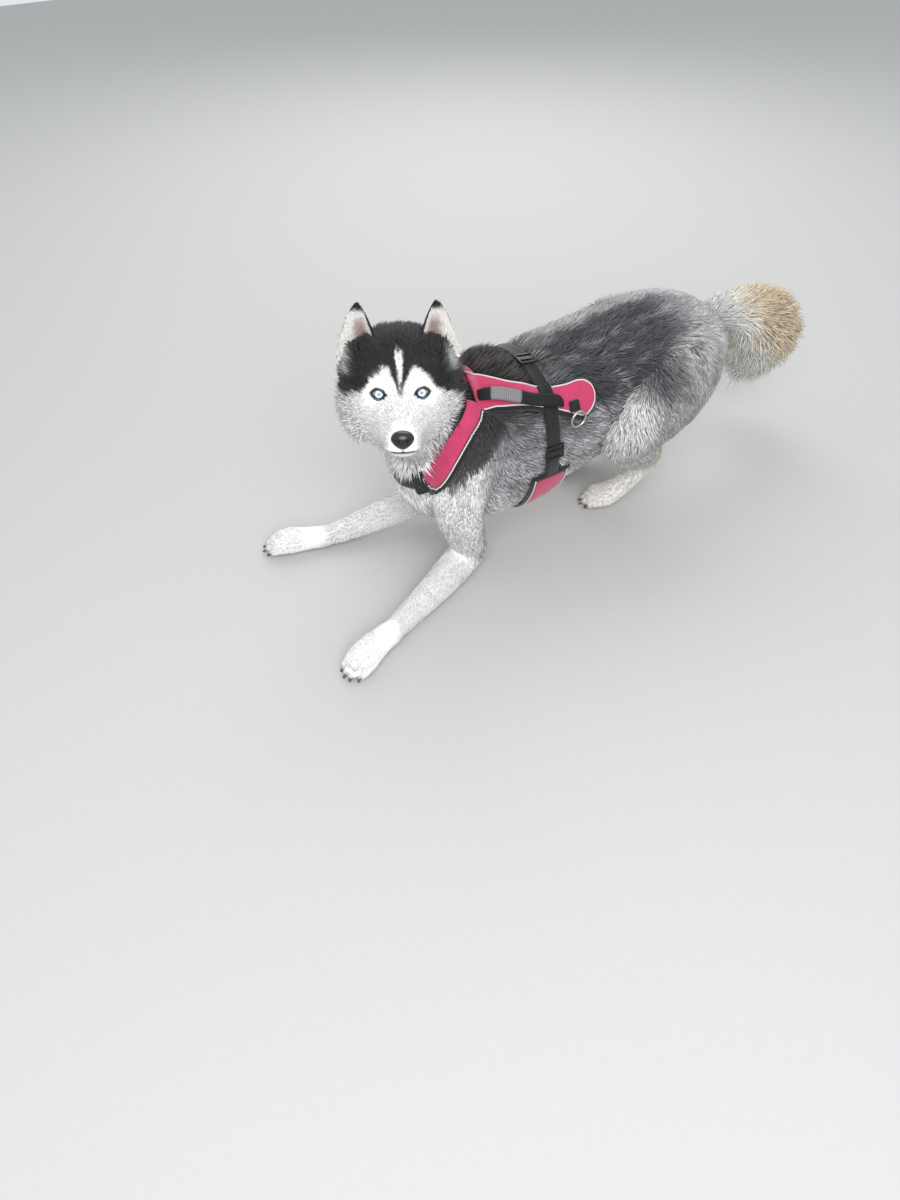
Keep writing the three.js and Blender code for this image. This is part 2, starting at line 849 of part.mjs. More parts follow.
const padding = layer(GAP, PAD);
const webbing = layer(GAP, WEBBING);
const panelCut = panelPrism(GAP);
const shoulderBand = padding
  .intersect(slab(NECK_RING.middle, NECK_RING.normal, STRAP))
  .subtract(panelCut);
const girthSlab = slab([GIRTH.x, 0, 200], [1, 0, 0], GIRTH.width);
const girthBand = webbing.intersect(girthSlab).subtract(panelCut);

// A block whose top slopes from the belly pad's left edge to its right.
function underBelly(lift) {
  const { length, left, right } = BELLY_PAD;
  const slope = (left - right) / 230;
  const top = (left + right) / 2 + lift;
  return prism(
    rectangle(length, 400),
    { middle: [GIRTH.x, 0, top - 200], facing: [0, 1, -slope], upwards: [0, slope, 1] },
    180,
  );
}

const nearSide = region([-250, -300, 0], [300, SADDLE_LINE, 500]);
const farSide = region([-250, SADDLE_LINE + GAP, 0], [300, 300, 500]);
const aboveChestStrap = region([-250, -300, CHEST_STRAP_TOP + GAP], [200, 300, 500]);
const frontOfChest = region([-250, -300, 100], [-40, 300, CHEST_STRAP_TOP]);

// Buckles and sliders are thin frames that lie on top of the straps.
const frameOn = (place, width, height, thick, slots = []) =>
  layer(WEBBING + GAP, WEBBING + GAP + thick).intersect(
    prism(rectangle(width, height), place, 40, slots),
  );

const slot = (width, height, rise) =>
  rectangle(width, height).map(([x, y]) => [x, y + rise]).reverse();

const SLIDER_SLOTS = [slot(26, 5, 6), slot(26, 5, -6)];
const NEAR_SLIDER = { middle: [GIRTH.x, -112, 222], facing: [0, -1, 0.1], upwards: [0, 0.1, 1] };
const FAR_SLIDER = { middle: [GIRTH.x, -20, 332], facing: [0, -0.2, 1], upwards: [0, 1, 0] };
const BUCKLE = { middle: [-86, -78, 208], facing: [-0.78, -0.6, 0], upwards: [0.1, -0.1, 1] };

// The handle is a stiff loop over the front half of the pad.
const HANDLE = new Limb(
  [
    [-6, -48, 318, 6, 3],
    [2, -60, 329, 9, 4],
    [20, -74, 333, 10, 5],
    [46, -85, 326, 10, 5],
    [70, -91, 316, 10, 5],
    [86, -89, 303, 9, 4],
    [90, -80, 292, 6, 3],
  ],
  { upwards: [0, -0.643, 0.766] },
);

// The lead's ring hangs from a tab at the back of the pad, flat against the dog's side.
const RING = { middle: [144, -116, 270], radius: 13, wire: 2.1 };
const TAB = { middle: [144, -102, 286], facing: [0, -1, 0.45], upwards: [0, 0.45, 1] };

function leadRing(grow = 0) {
  const torus = new THREE.TorusGeometry(RING.radius, RING.wire + grow, 6, 16);
  return toSolid(torus.rotateX(Math.PI / 2).translate(...RING.middle));
}

// The cheeks' fringe lies over the harness. The ruff is pressed flat under it.
const fringe = inHead(join(cheekLocks())).subtract(coatShape(PAD + GAP));
const ruff = join(rowsOfLocks(NECK, RUFF))
  .subtract(slab(NECK_RING.middle, NECK_RING.normal, STRAP + 3 * GAP))
  .subtract(armsShape(GAP));
const neck = neckShape()
  .add(ruff)
  .subtract(trunkSwollen)
  .subtract(headSwollen)
  .subtract(inHead(join(cheekLocks(GAP))));
flesh.push(["neck", neck, materials.dark]);
flesh.push(["head", inHead(headSolid()).add(fringe), materials.white]);

const harness = [
  ["back_panel", padding.intersect(panelPrism()), materials.pink],
  ["shoulder_strap_left", shoulderBand.intersect(nearSide).intersect(aboveChestStrap), materials.pink],
  ["shoulder_strap_right", shoulderBand.intersect(farSide).intersect(aboveChestStrap), materials.pink],
  [
    "chest_strap",
    webbing.intersect(slab(NECK_RING.middle, NECK_RING.normal, 18)).intersect(frontOfChest),
    materials.webbing,
  ],
  ["girth_strap_left", girthBand.intersect(nearSide).subtract(underBelly(GAP)), materials.webbing],
  ["girth_strap_right", girthBand.intersect(farSide).subtract(underBelly(GAP)), materials.webbing],
  ["belly_pad", padding.intersect(underBelly(0)), materials.pink],
  [
    "cross_strap",
    layer(PAD + GAP, PAD + WEBBING).intersect(girthSlab).intersect(panelPrism(2)),
    materials.webbing,
  ],
  ["handle", HANDLE.solid(8, 12).subtract(coatShape(PAD + GAP)), materials.webbing],
  ["girth_slider_left", frameOn(NEAR_SLIDER, 32, 24, 3, SLIDER_SLOTS), materials.plastic],
  ["girth_slider_right", frameOn(FAR_SLIDER, 32, 24, 3, SLIDER_SLOTS), materials.plastic],
  [
    "chest_buckle",
    layer(PAD + GAP, PAD + 6).intersect(prism(rectangle(30, 26), BUCKLE, 30)),
    materials.plastic,
  ],
  [
    "ring_tab",
    layer(PAD + GAP, PAD + 13).intersect(prism(rectangle(20, 16), TAB, 24)).subtract(leadRing(GAP)),
    materials.webbing,
  ],
  ["lead_ring", leadRing(), materials.steel],
];

// The whole dog

const husky = new THREE.Group();
husky.name = "husky";
husky.position.set(-BOX_MIDDLE[0], -BOX_MIDDLE[1], 0);

function place(name, solid, material) {
  const mesh = new THREE.Mesh(toGeometry(largest(solid.subtract(underFloor))), material);
  mesh.name = name;
  husky.add(mesh);
}

for (const [name, solid, material] of [...flesh, ...harness]) place(name, solid, material);

const part = new THREE.Group();
part.add(husky);

export default part;
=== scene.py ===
"""A still husky in a play bow with its padded harness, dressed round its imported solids."""

import bpy
import numpy as np
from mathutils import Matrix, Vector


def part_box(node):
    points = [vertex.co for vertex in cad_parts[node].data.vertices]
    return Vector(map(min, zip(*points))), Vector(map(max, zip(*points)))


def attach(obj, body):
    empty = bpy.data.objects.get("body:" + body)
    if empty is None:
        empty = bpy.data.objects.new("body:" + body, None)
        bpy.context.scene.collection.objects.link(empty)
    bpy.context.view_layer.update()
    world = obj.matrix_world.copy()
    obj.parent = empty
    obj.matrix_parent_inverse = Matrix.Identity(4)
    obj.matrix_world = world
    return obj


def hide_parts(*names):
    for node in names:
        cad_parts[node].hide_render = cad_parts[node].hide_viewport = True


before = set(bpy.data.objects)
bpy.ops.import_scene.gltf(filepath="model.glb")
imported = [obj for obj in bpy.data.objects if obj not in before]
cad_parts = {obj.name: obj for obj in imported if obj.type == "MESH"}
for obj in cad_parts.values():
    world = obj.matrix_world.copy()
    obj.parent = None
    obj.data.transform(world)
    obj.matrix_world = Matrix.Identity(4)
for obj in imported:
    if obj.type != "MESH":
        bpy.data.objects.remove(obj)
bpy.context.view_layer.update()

bl_info = {
    "name": "Husky in a play bow",
    "version": (1, 0, 0),
    "blender": (4, 5, 0),
    "location": "View3D > Sidebar > Husky",
    "description": "Skin, coat, face and harness of a life-size husky",
    "category": "Add Mesh",
}

# Sizes are in millimetres of the dog's own frame, whose origin is on the floor between the
# elbows. Turns are in degrees round a strap's ring, from the top down the left side.
GAP = 0.35
UNDERLAP = 0.3
PAD = 4.6
PANEL_COVER = 2.6
WEBBING = 3.0
CROSS_WEBBING = 2.6
STRAP_STEPS = 110
PATH_SAMPLES = 70
GIRTH_X = 105.0
GIRTH_WIDTH = 25.0
GIRTH_TURNS = {"left": (47, 106), "right": (38, -114)}
CHEST_TURNS = (145, 215)
CHEST_WIDTH = 18.0
CROSS_TURNS = (32, 55)
BINDING = 8.0
PIPING = 1.2
SHOULDER_TURNS = {"left": (44, 147), "right": (24, -147)}
SHOULDER_WIDTH = 26.0
SHOULDER_OFFSET = -3.0
BELLY_TURNS = (105, 245)
BELLY_WIDTH = 64.0
BELLY_BINDING = 76.0
RING = {"middle": (144, -116, 270), "radius": 13, "wire": 2.1}
EYE_RADIUS = 10.5
EYE = np.array([5, 29.5, 2.8])
LID = {"half": 10.2, "height": 6.8, "tilt": 0.16, "facing": (0.955, 0.10, 0.27)}
NECK_RING_MIDDLE = np.array([-49.0, 0.0, 274.0])
NECK_RING_NORMAL = np.array([0.79, 0.0, -0.613])
NECK_RING_UP = np.array([0.613, 0.0, 0.79])
STRAP_LEAD = [
    (40, -5), (60, -4.5), (72, 2), (84, 6.4), (100, 8.2), (114, 6.3), (126, -1), (138, -8.5),
    (148, -10), (180, -10),
]
NOSE = {"middle": (89, 0, -32), "length": 11, "half": 15.6, "height": 13.6}
# A toe's and a claw's steps forward, heights and sizes, and each paw's spread and toe radius
TOE = [(-44, 17, 0.7), (-32, 17, 1.05), (-14, 14.5, 1.1), (-4, 11, 0.85), (0, 9, 0.3)]
CLAW = [(-8, 10.5, 1.6), (-4, 10.5, 2.6), (2, 8.2, 1.9), (6, 5, 0.6)]
TOE_REACH = 12
TOES = {"forepaw": (11.5, 7.8), "hind_foot": (11, 7.6)}
# Brow, foot of the ear and eye socket: places and half sizes in the head's frame
HEAD_LUMPS = [
    ((-9, 27, 20), (12, 17, 10)), ((-64, 52, 26), (24, 22, 31)), (EYE, (12.6, 12.6, 12.6)),
]
EAR_BASE = (-52, 50, 34)
EAR_TIP = (-60, 54, 112)
HANDLE_LINE = [
    (-6, -48, 318, 6, 3), (2, -60, 329, 9, 4), (20, -74, 333, 10, 5), (46, -85, 326, 10, 5),
    (70, -91, 316, 10, 5), (94, -97, 310, 10, 4.5), (112, -99, 305, 9, 4),
    (122, -97, 297, 8, 3.5), (127, -94, 291, 6, 3),
]
HANDLE_RUN = 0.14
EYE_MIDDLE = np.array([-130.0, -57.0, 370.0])
HEAD_TURN = np.radians(62.9)
MUZZLE_RISE = np.radians(14)
MOUTH = [(12, -56), (32, -60), (55, -57), (80, -53), (100, -51)]
CAMERA_AT = np.array([-625.4, -1021.9, 1050.0])
CAMERA_TURN = (45, 0, -30.8)
CAMERA_LENS = 27.03
# The lights' places and sizes are in metres and their power is in watts.
LIGHTS = {
    "key": {"place": (-1.1, -1.8, 1.9), "turn": (54, 0, -31), "size": 2.2, "power": 66},
    "back": {"place": (0.9, 1.7, 1.9), "turn": (-50, 0, -28), "size": 2.4, "power": 34},
}
SKY = (0.92, 0.95, 1.0, 1)
SKY_STRENGTH = 0.84
MOST_TRIANGLES = 200000

LOW, HIGH = (np.array(corner) * 1000 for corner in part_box("lead_ring"))
SHIFT = (LOW + HIGH) / 2 - np.array(RING["middle"])


# Curves and limbs


def unit(vectors):
    """Each vector over its own length."""
    return vectors / np.maximum(np.linalg.norm(vectors, axis=-1, keepdims=True), 1e-9)


def ease(low, high, value):
    """0 below low and 1 above high, with the cubic 3t^2 - 2t^3 between."""
    t = np.clip((value - low) / (high - low), 0, 1)
    return t * t * (3 - 2 * t)


def smooth_curve(points, t):
    """Catmull-Rom curve through points, even in its parameter from point to point."""
    given = np.asarray(points, float)
    count = len(given)
    held = np.vstack([2 * given[0] - given[1], given, 2 * given[-1] - given[-2]])
    place = np.clip(np.asarray(t, float), 0, 1) * (count - 1)
    i = np.minimum(place.astype(int), count - 2)
    w = (place - i)[..., None]
    a, b, c, d = held[i], held[i + 1], held[i + 2], held[i + 3]
    cubic = (3 * b - a - 3 * c + d) * w**3
    return 0.5 * (2 * b + (c - a) * w + (2 * a - 5 * b + 4 * c - d) * w * w + cubic)


def round_grid(start, end, rings, sides):
    """Grids of v, from start to end along, and of u, from 0 to 1 round."""
    return np.meshgrid(np.linspace(start, end, rings), np.arange(sides) / sides, indexing="ij")


def corners(points, faces):
    """The three corners of each triangle."""
    return (points[faces[:, k]] for k in range(3))


class Limb:
    """A rounded form along a path. A station is x, y, z, half width and half height."""

    def __init__(self, stations, upwards=(0, 0, 1), squareness=2.15, plumb=False):
        stations = np.array(stations, float)
        self.places = stations[:, :3]
        self.sizes = stations[:, 3:5]
        self.upwards = np.array(upwards, float)
        self.squareness = squareness
        self.plumb = plumb

    def axes(self, v):
        """The path's direction, and the two directions across it."""
        step = 1e-3
        ahead = smooth_curve(self.places, np.minimum(v + step, 1))
        along = unit(ahead - smooth_curve(self.places, np.maximum(v - step, 0)))
        side = unit(np.cross(along, self.upwards))
        up = np.cross(side, along)
        return along, side, np.broadcast_to(self.upwards, up.shape) if self.plumb else up

    def size(self, v, inset=0.0):
        """Half width and half height at v, drawn in by inset but never to nothing."""
        full = np.maximum(smooth_curve(self.sizes, v), 2.0)
        return np.maximum(full - np.asarray(inset)[..., None], 0.4 * full)

    def point(self, u, v, inset=0.0):
        """Centre plus side times sine and up times cosine of 2 pi u, on a superellipse."""
        _, side, up = self.axes(v)
        size = self.size(v, inset)
        across, high = np.sin(2 * np.pi * u), np.cos(2 * np.pi * u)
        n = self.squareness
        reach = (np.abs(across) ** n + np.abs(high) ** n) ** (-1 / n)
        centre = smooth_curve(self.places, v)
        out = centre + side * (across * reach * size[..., 0])[..., None]
        return out + up * (high * reach * size[..., 1])[..., None]

    def surface(self, sides, rings, inset=0.0):
        """A closed grid of u round and v along, whose two ends close on the path."""
        v, u = round_grid(0, 1, rings, sides)
        return tube(self.point(u, v, inset * np.ones_like(v)))

    def about(self, points):
        """How far out of the limb each point is, with its u, v and the path's direction there."""
        v_all = np.linspace(0, 1, PATH_SAMPLES)
        centres = smooth_curve(self.places, v_all)
        if self.plumb:
            v = np.interp(points[:, 0], centres[:, 0], v_all)
        else:
            square = (centres**2).sum(1) - 2 * points @ centres.T
            v = v_all[square.argmin(1)]
        along, side, up = self.axes(v)
        size = self.size(v)
        offset = points - smooth_curve(self.places, v)
        x, y, z = ((offset * axis).sum(1) for axis in (side, up, along))
        n = self.squareness
        r = (np.abs(x / size[:, 0]) ** n + np.abs(y / size[:, 1]) ** n) ** (1 / n)
        radial = np.hypot(x, y) * (1 - 1 / np.maximum(r, 1e-3))
        ended = (v <= 0) | (v >= 1)
        far = np.where(ended, np.hypot(np.maximum(radial, 0), z), radial)
        return far, (np.arctan2(x, y) / (2 * np.pi)) % 1, v, along


def upright(x, top, bottom, half):
    """A station from its highest and lowest points and its half width."""
    return (x, 0, (top + bottom) / 2, half, (top - bottom) / 2)


TORSO_LINE = [
    (-110, 212, 174, 14), (-100, 246, 142, 44), (-80, 282, 112, 71), (-46, 308, 90, 92),
    (-8, 328, 75, 105), (34, 344, 70, 111), (66, 349, 73, 113), (104, 333, 80, 112),
    (145, 343, 90, 112), (205, 350, 108, 109), (265, 357, 128, 104), (325, 362, 146, 101),
    (380, 361, 156, 100), (430, 350, 164, 96), (475, 328, 178, 80), (508, 300, 198, 54),
    (524, 272, 224, 20),
]
SKULL_LINE = [
    (-116, 14, -24, 24), (-102, 50, -60, 60), (-80, 75, -80, 80), (-55, 81, -87, 86),
    (-32, 71, -86, 80), (-13, 50, -81, 67), (1, 31, -76, 55), (14, 13, -72, 45),
    (30, 1, -69, 37), (48, -7, -67, 31), (65, -13, -65, 27), (79, -18, -61, 24),
    (88, -24, -53, 17), (93, -32, -44, 6),
]
SKULL = Limb([upright(*s) for s in SKULL_LINE], squareness=2.2, plumb=True)
TAIL_REACH = [
    (470, 0, 268, 20, 22), (500, 0, 285, 30, 30), (548, -2, 290, 42, 38),
    (600, -2, 274, 56, 52), (652, 3, 238, 66, 64), (680, 20, 194, 62, 62),
    (688, 38, 154, 46, 48), (690, 52, 126, 14, 16),
]
LEG_SIZES = {
    "upper_arm": [(22, 30), (36, 54), (41, 54), (37, 44), (32, 36), (27, 28), (17, 18)],
    "forearm": [(14, 14), (27, 28), (28, 29), (25, 26), (22, 23), (20, 20), (17, 17)],
    "forepaw": [(14, 13), (19, 19), (23, 20), (26, 21), (24, 18), (16, 12)],
    "thigh": [(20, 28), (46, 68), (54, 80), (54, 76), (50, 62), (42, 46), (24, 24)],
    "shank": [(14, 16), (32, 34), (34, 40), (28, 32), (20, 23), (12, 12)],
    "hind_foot": [(10, 12), (18, 19), (17, 18), (19, 19), (24, 21), (25, 19), (15, 12)],
}
LEG_PATHS = {
    ("upper_arm", "left"): [
        (26, 52, 296), (0, 66, 258), (-36, 74, 205), (-46, 78, 150), (-36, 76, 98),
        (-18, 70, 48), (-8, 66, 26),
    ],
    ("upper_arm", "right"): [
        (26, 52, 296), (0, 66, 258), (-36, 74, 205), (-48, 80, 155), (-38, 82, 110),
        (-22, 80, 70), (-14, 78, 50),
    ],
    ("forearm", "left"): [
        (4, 48, 30), (-14, 58, 30), (-58, 82, 28), (-108, 106, 25), (-150, 124, 22),
        (-190, 141, 20), (-214, 150, 20),
    ],
    ("forearm", "right"): [
        (6, 76, 58), (-14, 78, 55), (-52, 84, 48), (-100, 91, 38), (-145, 98, 29),
        (-185, 106, 21), (-206, 111, 20),
    ],
    ("forepaw", "left"): [
        (-186, 140, 20), (-210, 149, 20), (-240, 160, 20), (-266, 171, 20), (-286, 180, 17),
        (-298, 185, 15),
    ],
    ("forepaw", "right"): [
        (-182, 105, 21), (-206, 111, 20), (-234, 120, 20), (-258, 129, 20), (-279, 138, 17),
        (-291, 143, 15),
    ],
    ("thigh", "left"): [
        (468, 40, 250), (432, 62, 260), (385, 80, 252), (335, 92, 236), (285, 102, 214),
        (250, 108, 192), (228, 108, 176),
    ],
    ("thigh", "right"): [
        (468, 40, 244), (432, 62, 252), (385, 80, 243), (335, 92, 228), (285, 102, 208),
        (252, 108, 188), (232, 108, 174),
    ],
    ("shank", "left"): [
        (236, 106, 182), (256, 104, 174), (292, 96, 152), (328, 84, 126), (356, 72, 102),
        (370, 66, 88),
    ],
    ("shank", "right"): [
        (240, 106, 180), (262, 104, 172), (304, 100, 150), (348, 94, 124), (380, 88, 100),
        (396, 84, 86),
    ],
    ("hind_foot", "left"): [
        (378, 67, 96), (364, 66, 86), (338, 63, 62), (314, 57, 40), (292, 48, 22),
        (271, 40, 18), (257, 33, 14),
    ],
    ("hind_foot", "right"): [
        (404, 84, 94), (390, 83, 84), (362, 82, 61), (334, 80, 40), (306, 76, 22),
        (284, 72, 18), (268, 70, 14),
    ],
}
NECK_LINE = [
    (40, 0, 205, 60, 60), (15, 0, 230, 90, 84), (-20, 2, 258, 88, 84), (-54, 8, 290, 82, 80),
    (-80, 15, 320, 74, 76), (-92, 18, 345, 50, 55),
]
TAIL_CORE = np.array([1, 0.8, 0.55, 0.5, 0.5, 0.5, 0.45, 0.45])


def leg(name, side):
    """One part of a leg; its path is given for the dog's right and mirrored for its left."""
    out = -1 if side == "left" else 1
    path = LEG_PATHS[name, side]
    stations = [(x, out * y, z, *size) for (x, y, z), size in zip(path, LEG_SIZES[name])]
    return Limb(stations, upwards=(-1, 0, 0) if name == "upper_arm" else (0, 0, 1))


def tail_core():
    """The tail inside its brush."""
    reach = np.array(TAIL_REACH, float)
    reach[:, 3:] *= TAIL_CORE[:, None]
    return Limb(reach, upwards=(0.6, 0, 1), squareness=2)


LIMBS = {
    "torso": Limb([upright(*s) for s in TORSO_LINE], plumb=True),
    "neck": Limb(NECK_LINE, squareness=2),
    "tail": tail_core(),
}
LIMBS.update({f"{name}_{side}": leg(name, side) for name, side in LEG_PATHS})
BRUSH = Limb(TAIL_REACH, upwards=(0.6, 0, 1), squareness=2)

# For each kind of limb: coat depth, tuft length, tuft width, tufts on a square millimetre
COATS = {
    "torso": (12, 30, 2.5, 0.088),
    "neck": (15, 40, 2.6, 0.11),
    "tail": (30, 62, 2.4, 0.225),
    "upper_arm": (5.5, 19, 2.0, 0.15),
    "forearm": (3.4, 12, 1.6, 0.19),
    "forepaw": (1.6, 7, 1.25, 0.26),
    "thigh": (10, 29, 2.4, 0.115),
    "shank": (6, 19, 2.0, 0.14),
    "hind_foot": (2.2, 8, 1.25, 0.23),
}

FORWARDS = np.array([
    -np.cos(MUZZLE_RISE) * np.cos(HEAD_TURN),
    -np.cos(MUZZLE_RISE) * np.sin(HEAD_TURN),
    np.sin(MUZZLE_RISE),
])
TO_LEFT = unit(np.cross((0, 0, 1), FORWARDS))
CROWN = np.cross(FORWARDS, TO_LEFT)
HEAD_AXES = np.array([FORWARDS, TO_LEFT, CROWN])


def from_head(points):
    """Head places in the dog's frame."""
    return np.asarray(points, float) @ HEAD_AXES + EYE_MIDDLE


def to_head(points):
    """The dog's places in the head's frame, which is ahead, to its left and up."""
    return (points - EYE_MIDDLE) @ HEAD_AXES.T


# Meshes


def tube(rows, closed=False):
    """Points and triangles of a tube through rows of rings, its ends gathered to their middles."""
    rings, sides, _ = rows.shape
    i, j = np.meshgrid(np.arange(rings - (not closed)), np.arange(sides), indexing="ij")
    a, b = i * sides + j, i * sides + (j + 1) % sides
    c, d = (i + 1) % rings * sides + (j + 1) % sides, (i + 1) % rings * sides + j
    faces = np.stack([np.stack([a, b, c], -1), np.stack([a, c, d], -1)], 2).reshape(-1, 3)
    points = rows.reshape(-1, 3)
    if not closed:
        ends = np.array([rows[0].mean(0), rows[-1].mean(0)])
        j = np.arange(sides)
        last = (rings - 1) * sides
        first_cap = np.stack([np.full(sides, len(points)), (j + 1) % sides, j], -1)
        far = np.full(sides, len(points) + 1)
        last_cap = np.stack([far, last + j, last + (j + 1) % sides], -1)
        points, faces = np.vstack([points, ends]), np.vstack([faces, first_cap, last_cap])
    return outwards(points, faces)


def outwards(points, faces):
    """The faces turned over if the volume that they enclose comes out below nothing."""
    a, b, c = corners(points, faces)
    return points, faces if (a * np.cross(b, c)).sum() > 0 else faces[:, ::-1]


def gather(parts):
    """Several meshes as one."""
    starts = np.cumsum([0] + [len(points) for points, _ in parts[:-1]])
    faces = [triangles + start for (_, triangles), start in zip(parts, starts)]
    return np.vstack([points for points, _ in parts]), np.vstack(faces)


def ball(centre, sizes):
    """A sphere by latitude and longitude, stretched to sizes."""
    v, u = round_grid(0.04, 0.96, 14, 28)
    lat, lon = np.pi * v, 2 * np.pi * u
    unit_ball = np.stack([np.sin(lat) * np.cos(lon), np.sin(lat) * np.sin(lon), np.cos(lat)], -1)
    return tube(unit_ball * np.array(sizes) + np.array(centre))


def wire(path, radii, sides=8, closed=False):
    """A round tube of given radii along a path, with a frame carried square to it."""
    path = np.asarray(path, float)
    if closed:
        along = unit(np.roll(path, -1, 0) - np.roll(path, 1, 0))
    else:
        along = unit(np.gradient(path, axis=0))
    guide = np.array([0.31, 0.27, 0.91])
    side = unit(np.cross(along, guide))
    up = np.cross(side, along)
    turn = 2 * np.pi * np.arange(sides) / sides
    radii = np.broadcast_to(radii, len(path))[:, None, None]
    ring = side[:, None] * np.cos(turn)[None, :, None] + up[:, None] * np.sin(turn)[None, :, None]
    return tube(path[:, None] + radii * ring, closed)


def piece(name, shape, material, replaced=()):
    """An object in metres of the model's frame, from points in the dog's own frame."""
    points, faces = shape
    mesh = bpy.data.meshes.new(name)
    mesh.vertices.add(len(points))
    mesh.vertices.foreach_set("co", ((points + SHIFT) / 1000).astype(np.float32).ravel())
    mesh.loops.add(faces.size)
    mesh.loops.foreach_set("vertex_index", faces.astype(np.int32).ravel())
    mesh.polygons.add(len(faces))
    mesh.polygons.foreach_set("loop_start", np.arange(0, faces.size, 3, dtype=np.int32))
    mesh.polygons.foreach_set("use_smooth", np.ones(len(faces), bool))
    mesh.update(calc_edges=True)
    mesh.materials.append(material)
    obj = bpy.data.objects.new(name, mesh)
    bpy.context.scene.collection.objects.link(obj)
    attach(obj, "root")
    if replaced:
        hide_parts(*replaced)
    return obj


def set_uv(obj, name, places):
    """A UV map from one place for each vertex."""
    mesh = obj.data
    used = np.empty(len(mesh.loops), np.int32)
    mesh.loops.foreach_get("vertex_index", used)
    layer = mesh.uv_layers.new(name=name)
    layer.data.foreach_set("uv", places[used].astype(np.float32).ravel())


def as_light(colours):
    """Screen colours as amounts of light."""
    return np.where(colours <= 0.04045, colours / 12.92, ((colours + 0.055) / 1.055) ** 2.4)


def set_colour(obj, colours):
    """The coat's colour at each vertex, given as seen on a screen and kept as light."""
    colours = np.c_[as_light(colours), np.ones(len(colours))]
    layer = obj.data.color_attributes.new("coat", "FLOAT_COLOR", "POINT")
    layer.data.foreach_set("color", colours.astype(np.float32).ravel())


def cloth(name, made, finish, replaced=()):
    """A piece of cloth from its shape and its map in metres."""
    shape, uv = made
    obj = piece(name, shape, finish, replaced)
    set_uv(obj, "cloth", uv)
    return obj


def remeshed(parts, voxel, passes):
    """Closed meshes run together on a grid of voxels, then relaxed, as points and triangles."""
    points, faces = gather(parts)
    mesh = bpy.data.meshes.new("joined")
    mesh.from_pydata(points.tolist(), [], faces.tolist())
    obj = bpy.data.objects.new("joined", mesh)
    bpy.context.scene.collection.objects.link(obj)
    run = obj.modifiers.new("run", "REMESH")
    run.mode, run.voxel_size = "VOXEL", voxel
    relax = obj.modifiers.new("relax", "SMOOTH")
    relax.factor, relax.iterations = 0.5, passes
    cut = obj.modifiers.new("cut", "TRIANGULATE")
    cut.quad_method = "SHORTEST_DIAGONAL"
    done = obj.evaluated_get(bpy.context.evaluated_depsgraph_get()).to_mesh()
    places = np.empty(len(done.vertices) * 3, np.float32)
    done.vertices.foreach_get("co", places)
    triangles = np.empty(len(done.loops), np.int32)
    done.loops.foreach_get("vertex_index", triangles)
    bpy.data.objects.remove(obj)
    bpy.data.meshes.remove(mesh)
    return places.reshape(-1, 3).astype(float), triangles.reshape(-1, 3)


def vertex_normals(points, faces):
    """The mean of the faces' own normals at each point, by area."""
    a, b, c = corners(points, faces)
    flat = np.cross(b - a, c - a)
    total = np.zeros_like(points)
    for k in range(3):
        for axis in range(3):
            total[:, axis] += np.bincount(faces[:, k], flat[:, axis], len(points))
    return unit(total)


def middles(points, faces):
    """Each triangle's middle and the way that it faces."""
    a, b, c = corners(points, faces)
    return (a + b + c) / 3, unit(np.cross(b - a, c - a))


def ripple(points, wavelength, seed):
    """Smooth wandering between about -1 and 1: a sum of sines along random directions."""
    draw = np.random.default_rng(seed)
    ways = unit(draw.normal(size=(7, 3))) * 2 * np.pi / wavelength
    ways *= draw.uniform(0.7, 1.4, (7, 1))
    return np.sin(points @ ways.T + draw.uniform(0, 2 * np.pi, 7)).sum(1) / 2.6


# Coat: where it lies, how long it is and its markings


WHITE = np.array([0.965, 0.965, 0.96])
PALE = np.array([0.84, 0.835, 0.825])
SILVER = np.array([0.70, 0.70, 0.71])
GREY = np.array([0.49, 0.495, 0.515])
SADDLE = np.array([0.26, 0.262, 0.275])
SLATE = np.array([0.115, 0.11, 0.115])
BROWN = np.array([0.36, 0.31, 0.27])
CREAM = np.array([0.87, 0.81, 0.71])
TAN = np.array([0.87, 0.77, 0.62])
BLUSH = np.array([0.72, 0.58, 0.55])


def blend(base, other, share):
    """base where share is 0 and other where it is 1."""
    return base + (other - base) * np.clip(share, 0, 1)[..., None]


def paint(colour, count):
    """One colour for each of count places."""
    return np.tile(colour, (count, 1))


def strap_lead(turn):
    """How far forward of its ring a shoulder strap lies, by the turn down from the top."""
    degrees, lead = np.array(STRAP_LEAD, float).T
    return sum(np.interp(turn + step, degrees, lead) for step in (-6, 0, 6)) / 3


def by_strap(points):
    """Distance behind the shoulder strap's middle and turn down from the top, in degrees."""
    along = (points - NECK_RING_MIDDLE) @ NECK_RING_NORMAL
    around = unit(points - NECK_RING_MIDDLE - along[:, None] * NECK_RING_NORMAL)
    turn = np.degrees(np.arccos(np.clip(around @ NECK_RING_UP, -1, 1)))
    return 1.12 * along + strap_lead(turn), turn


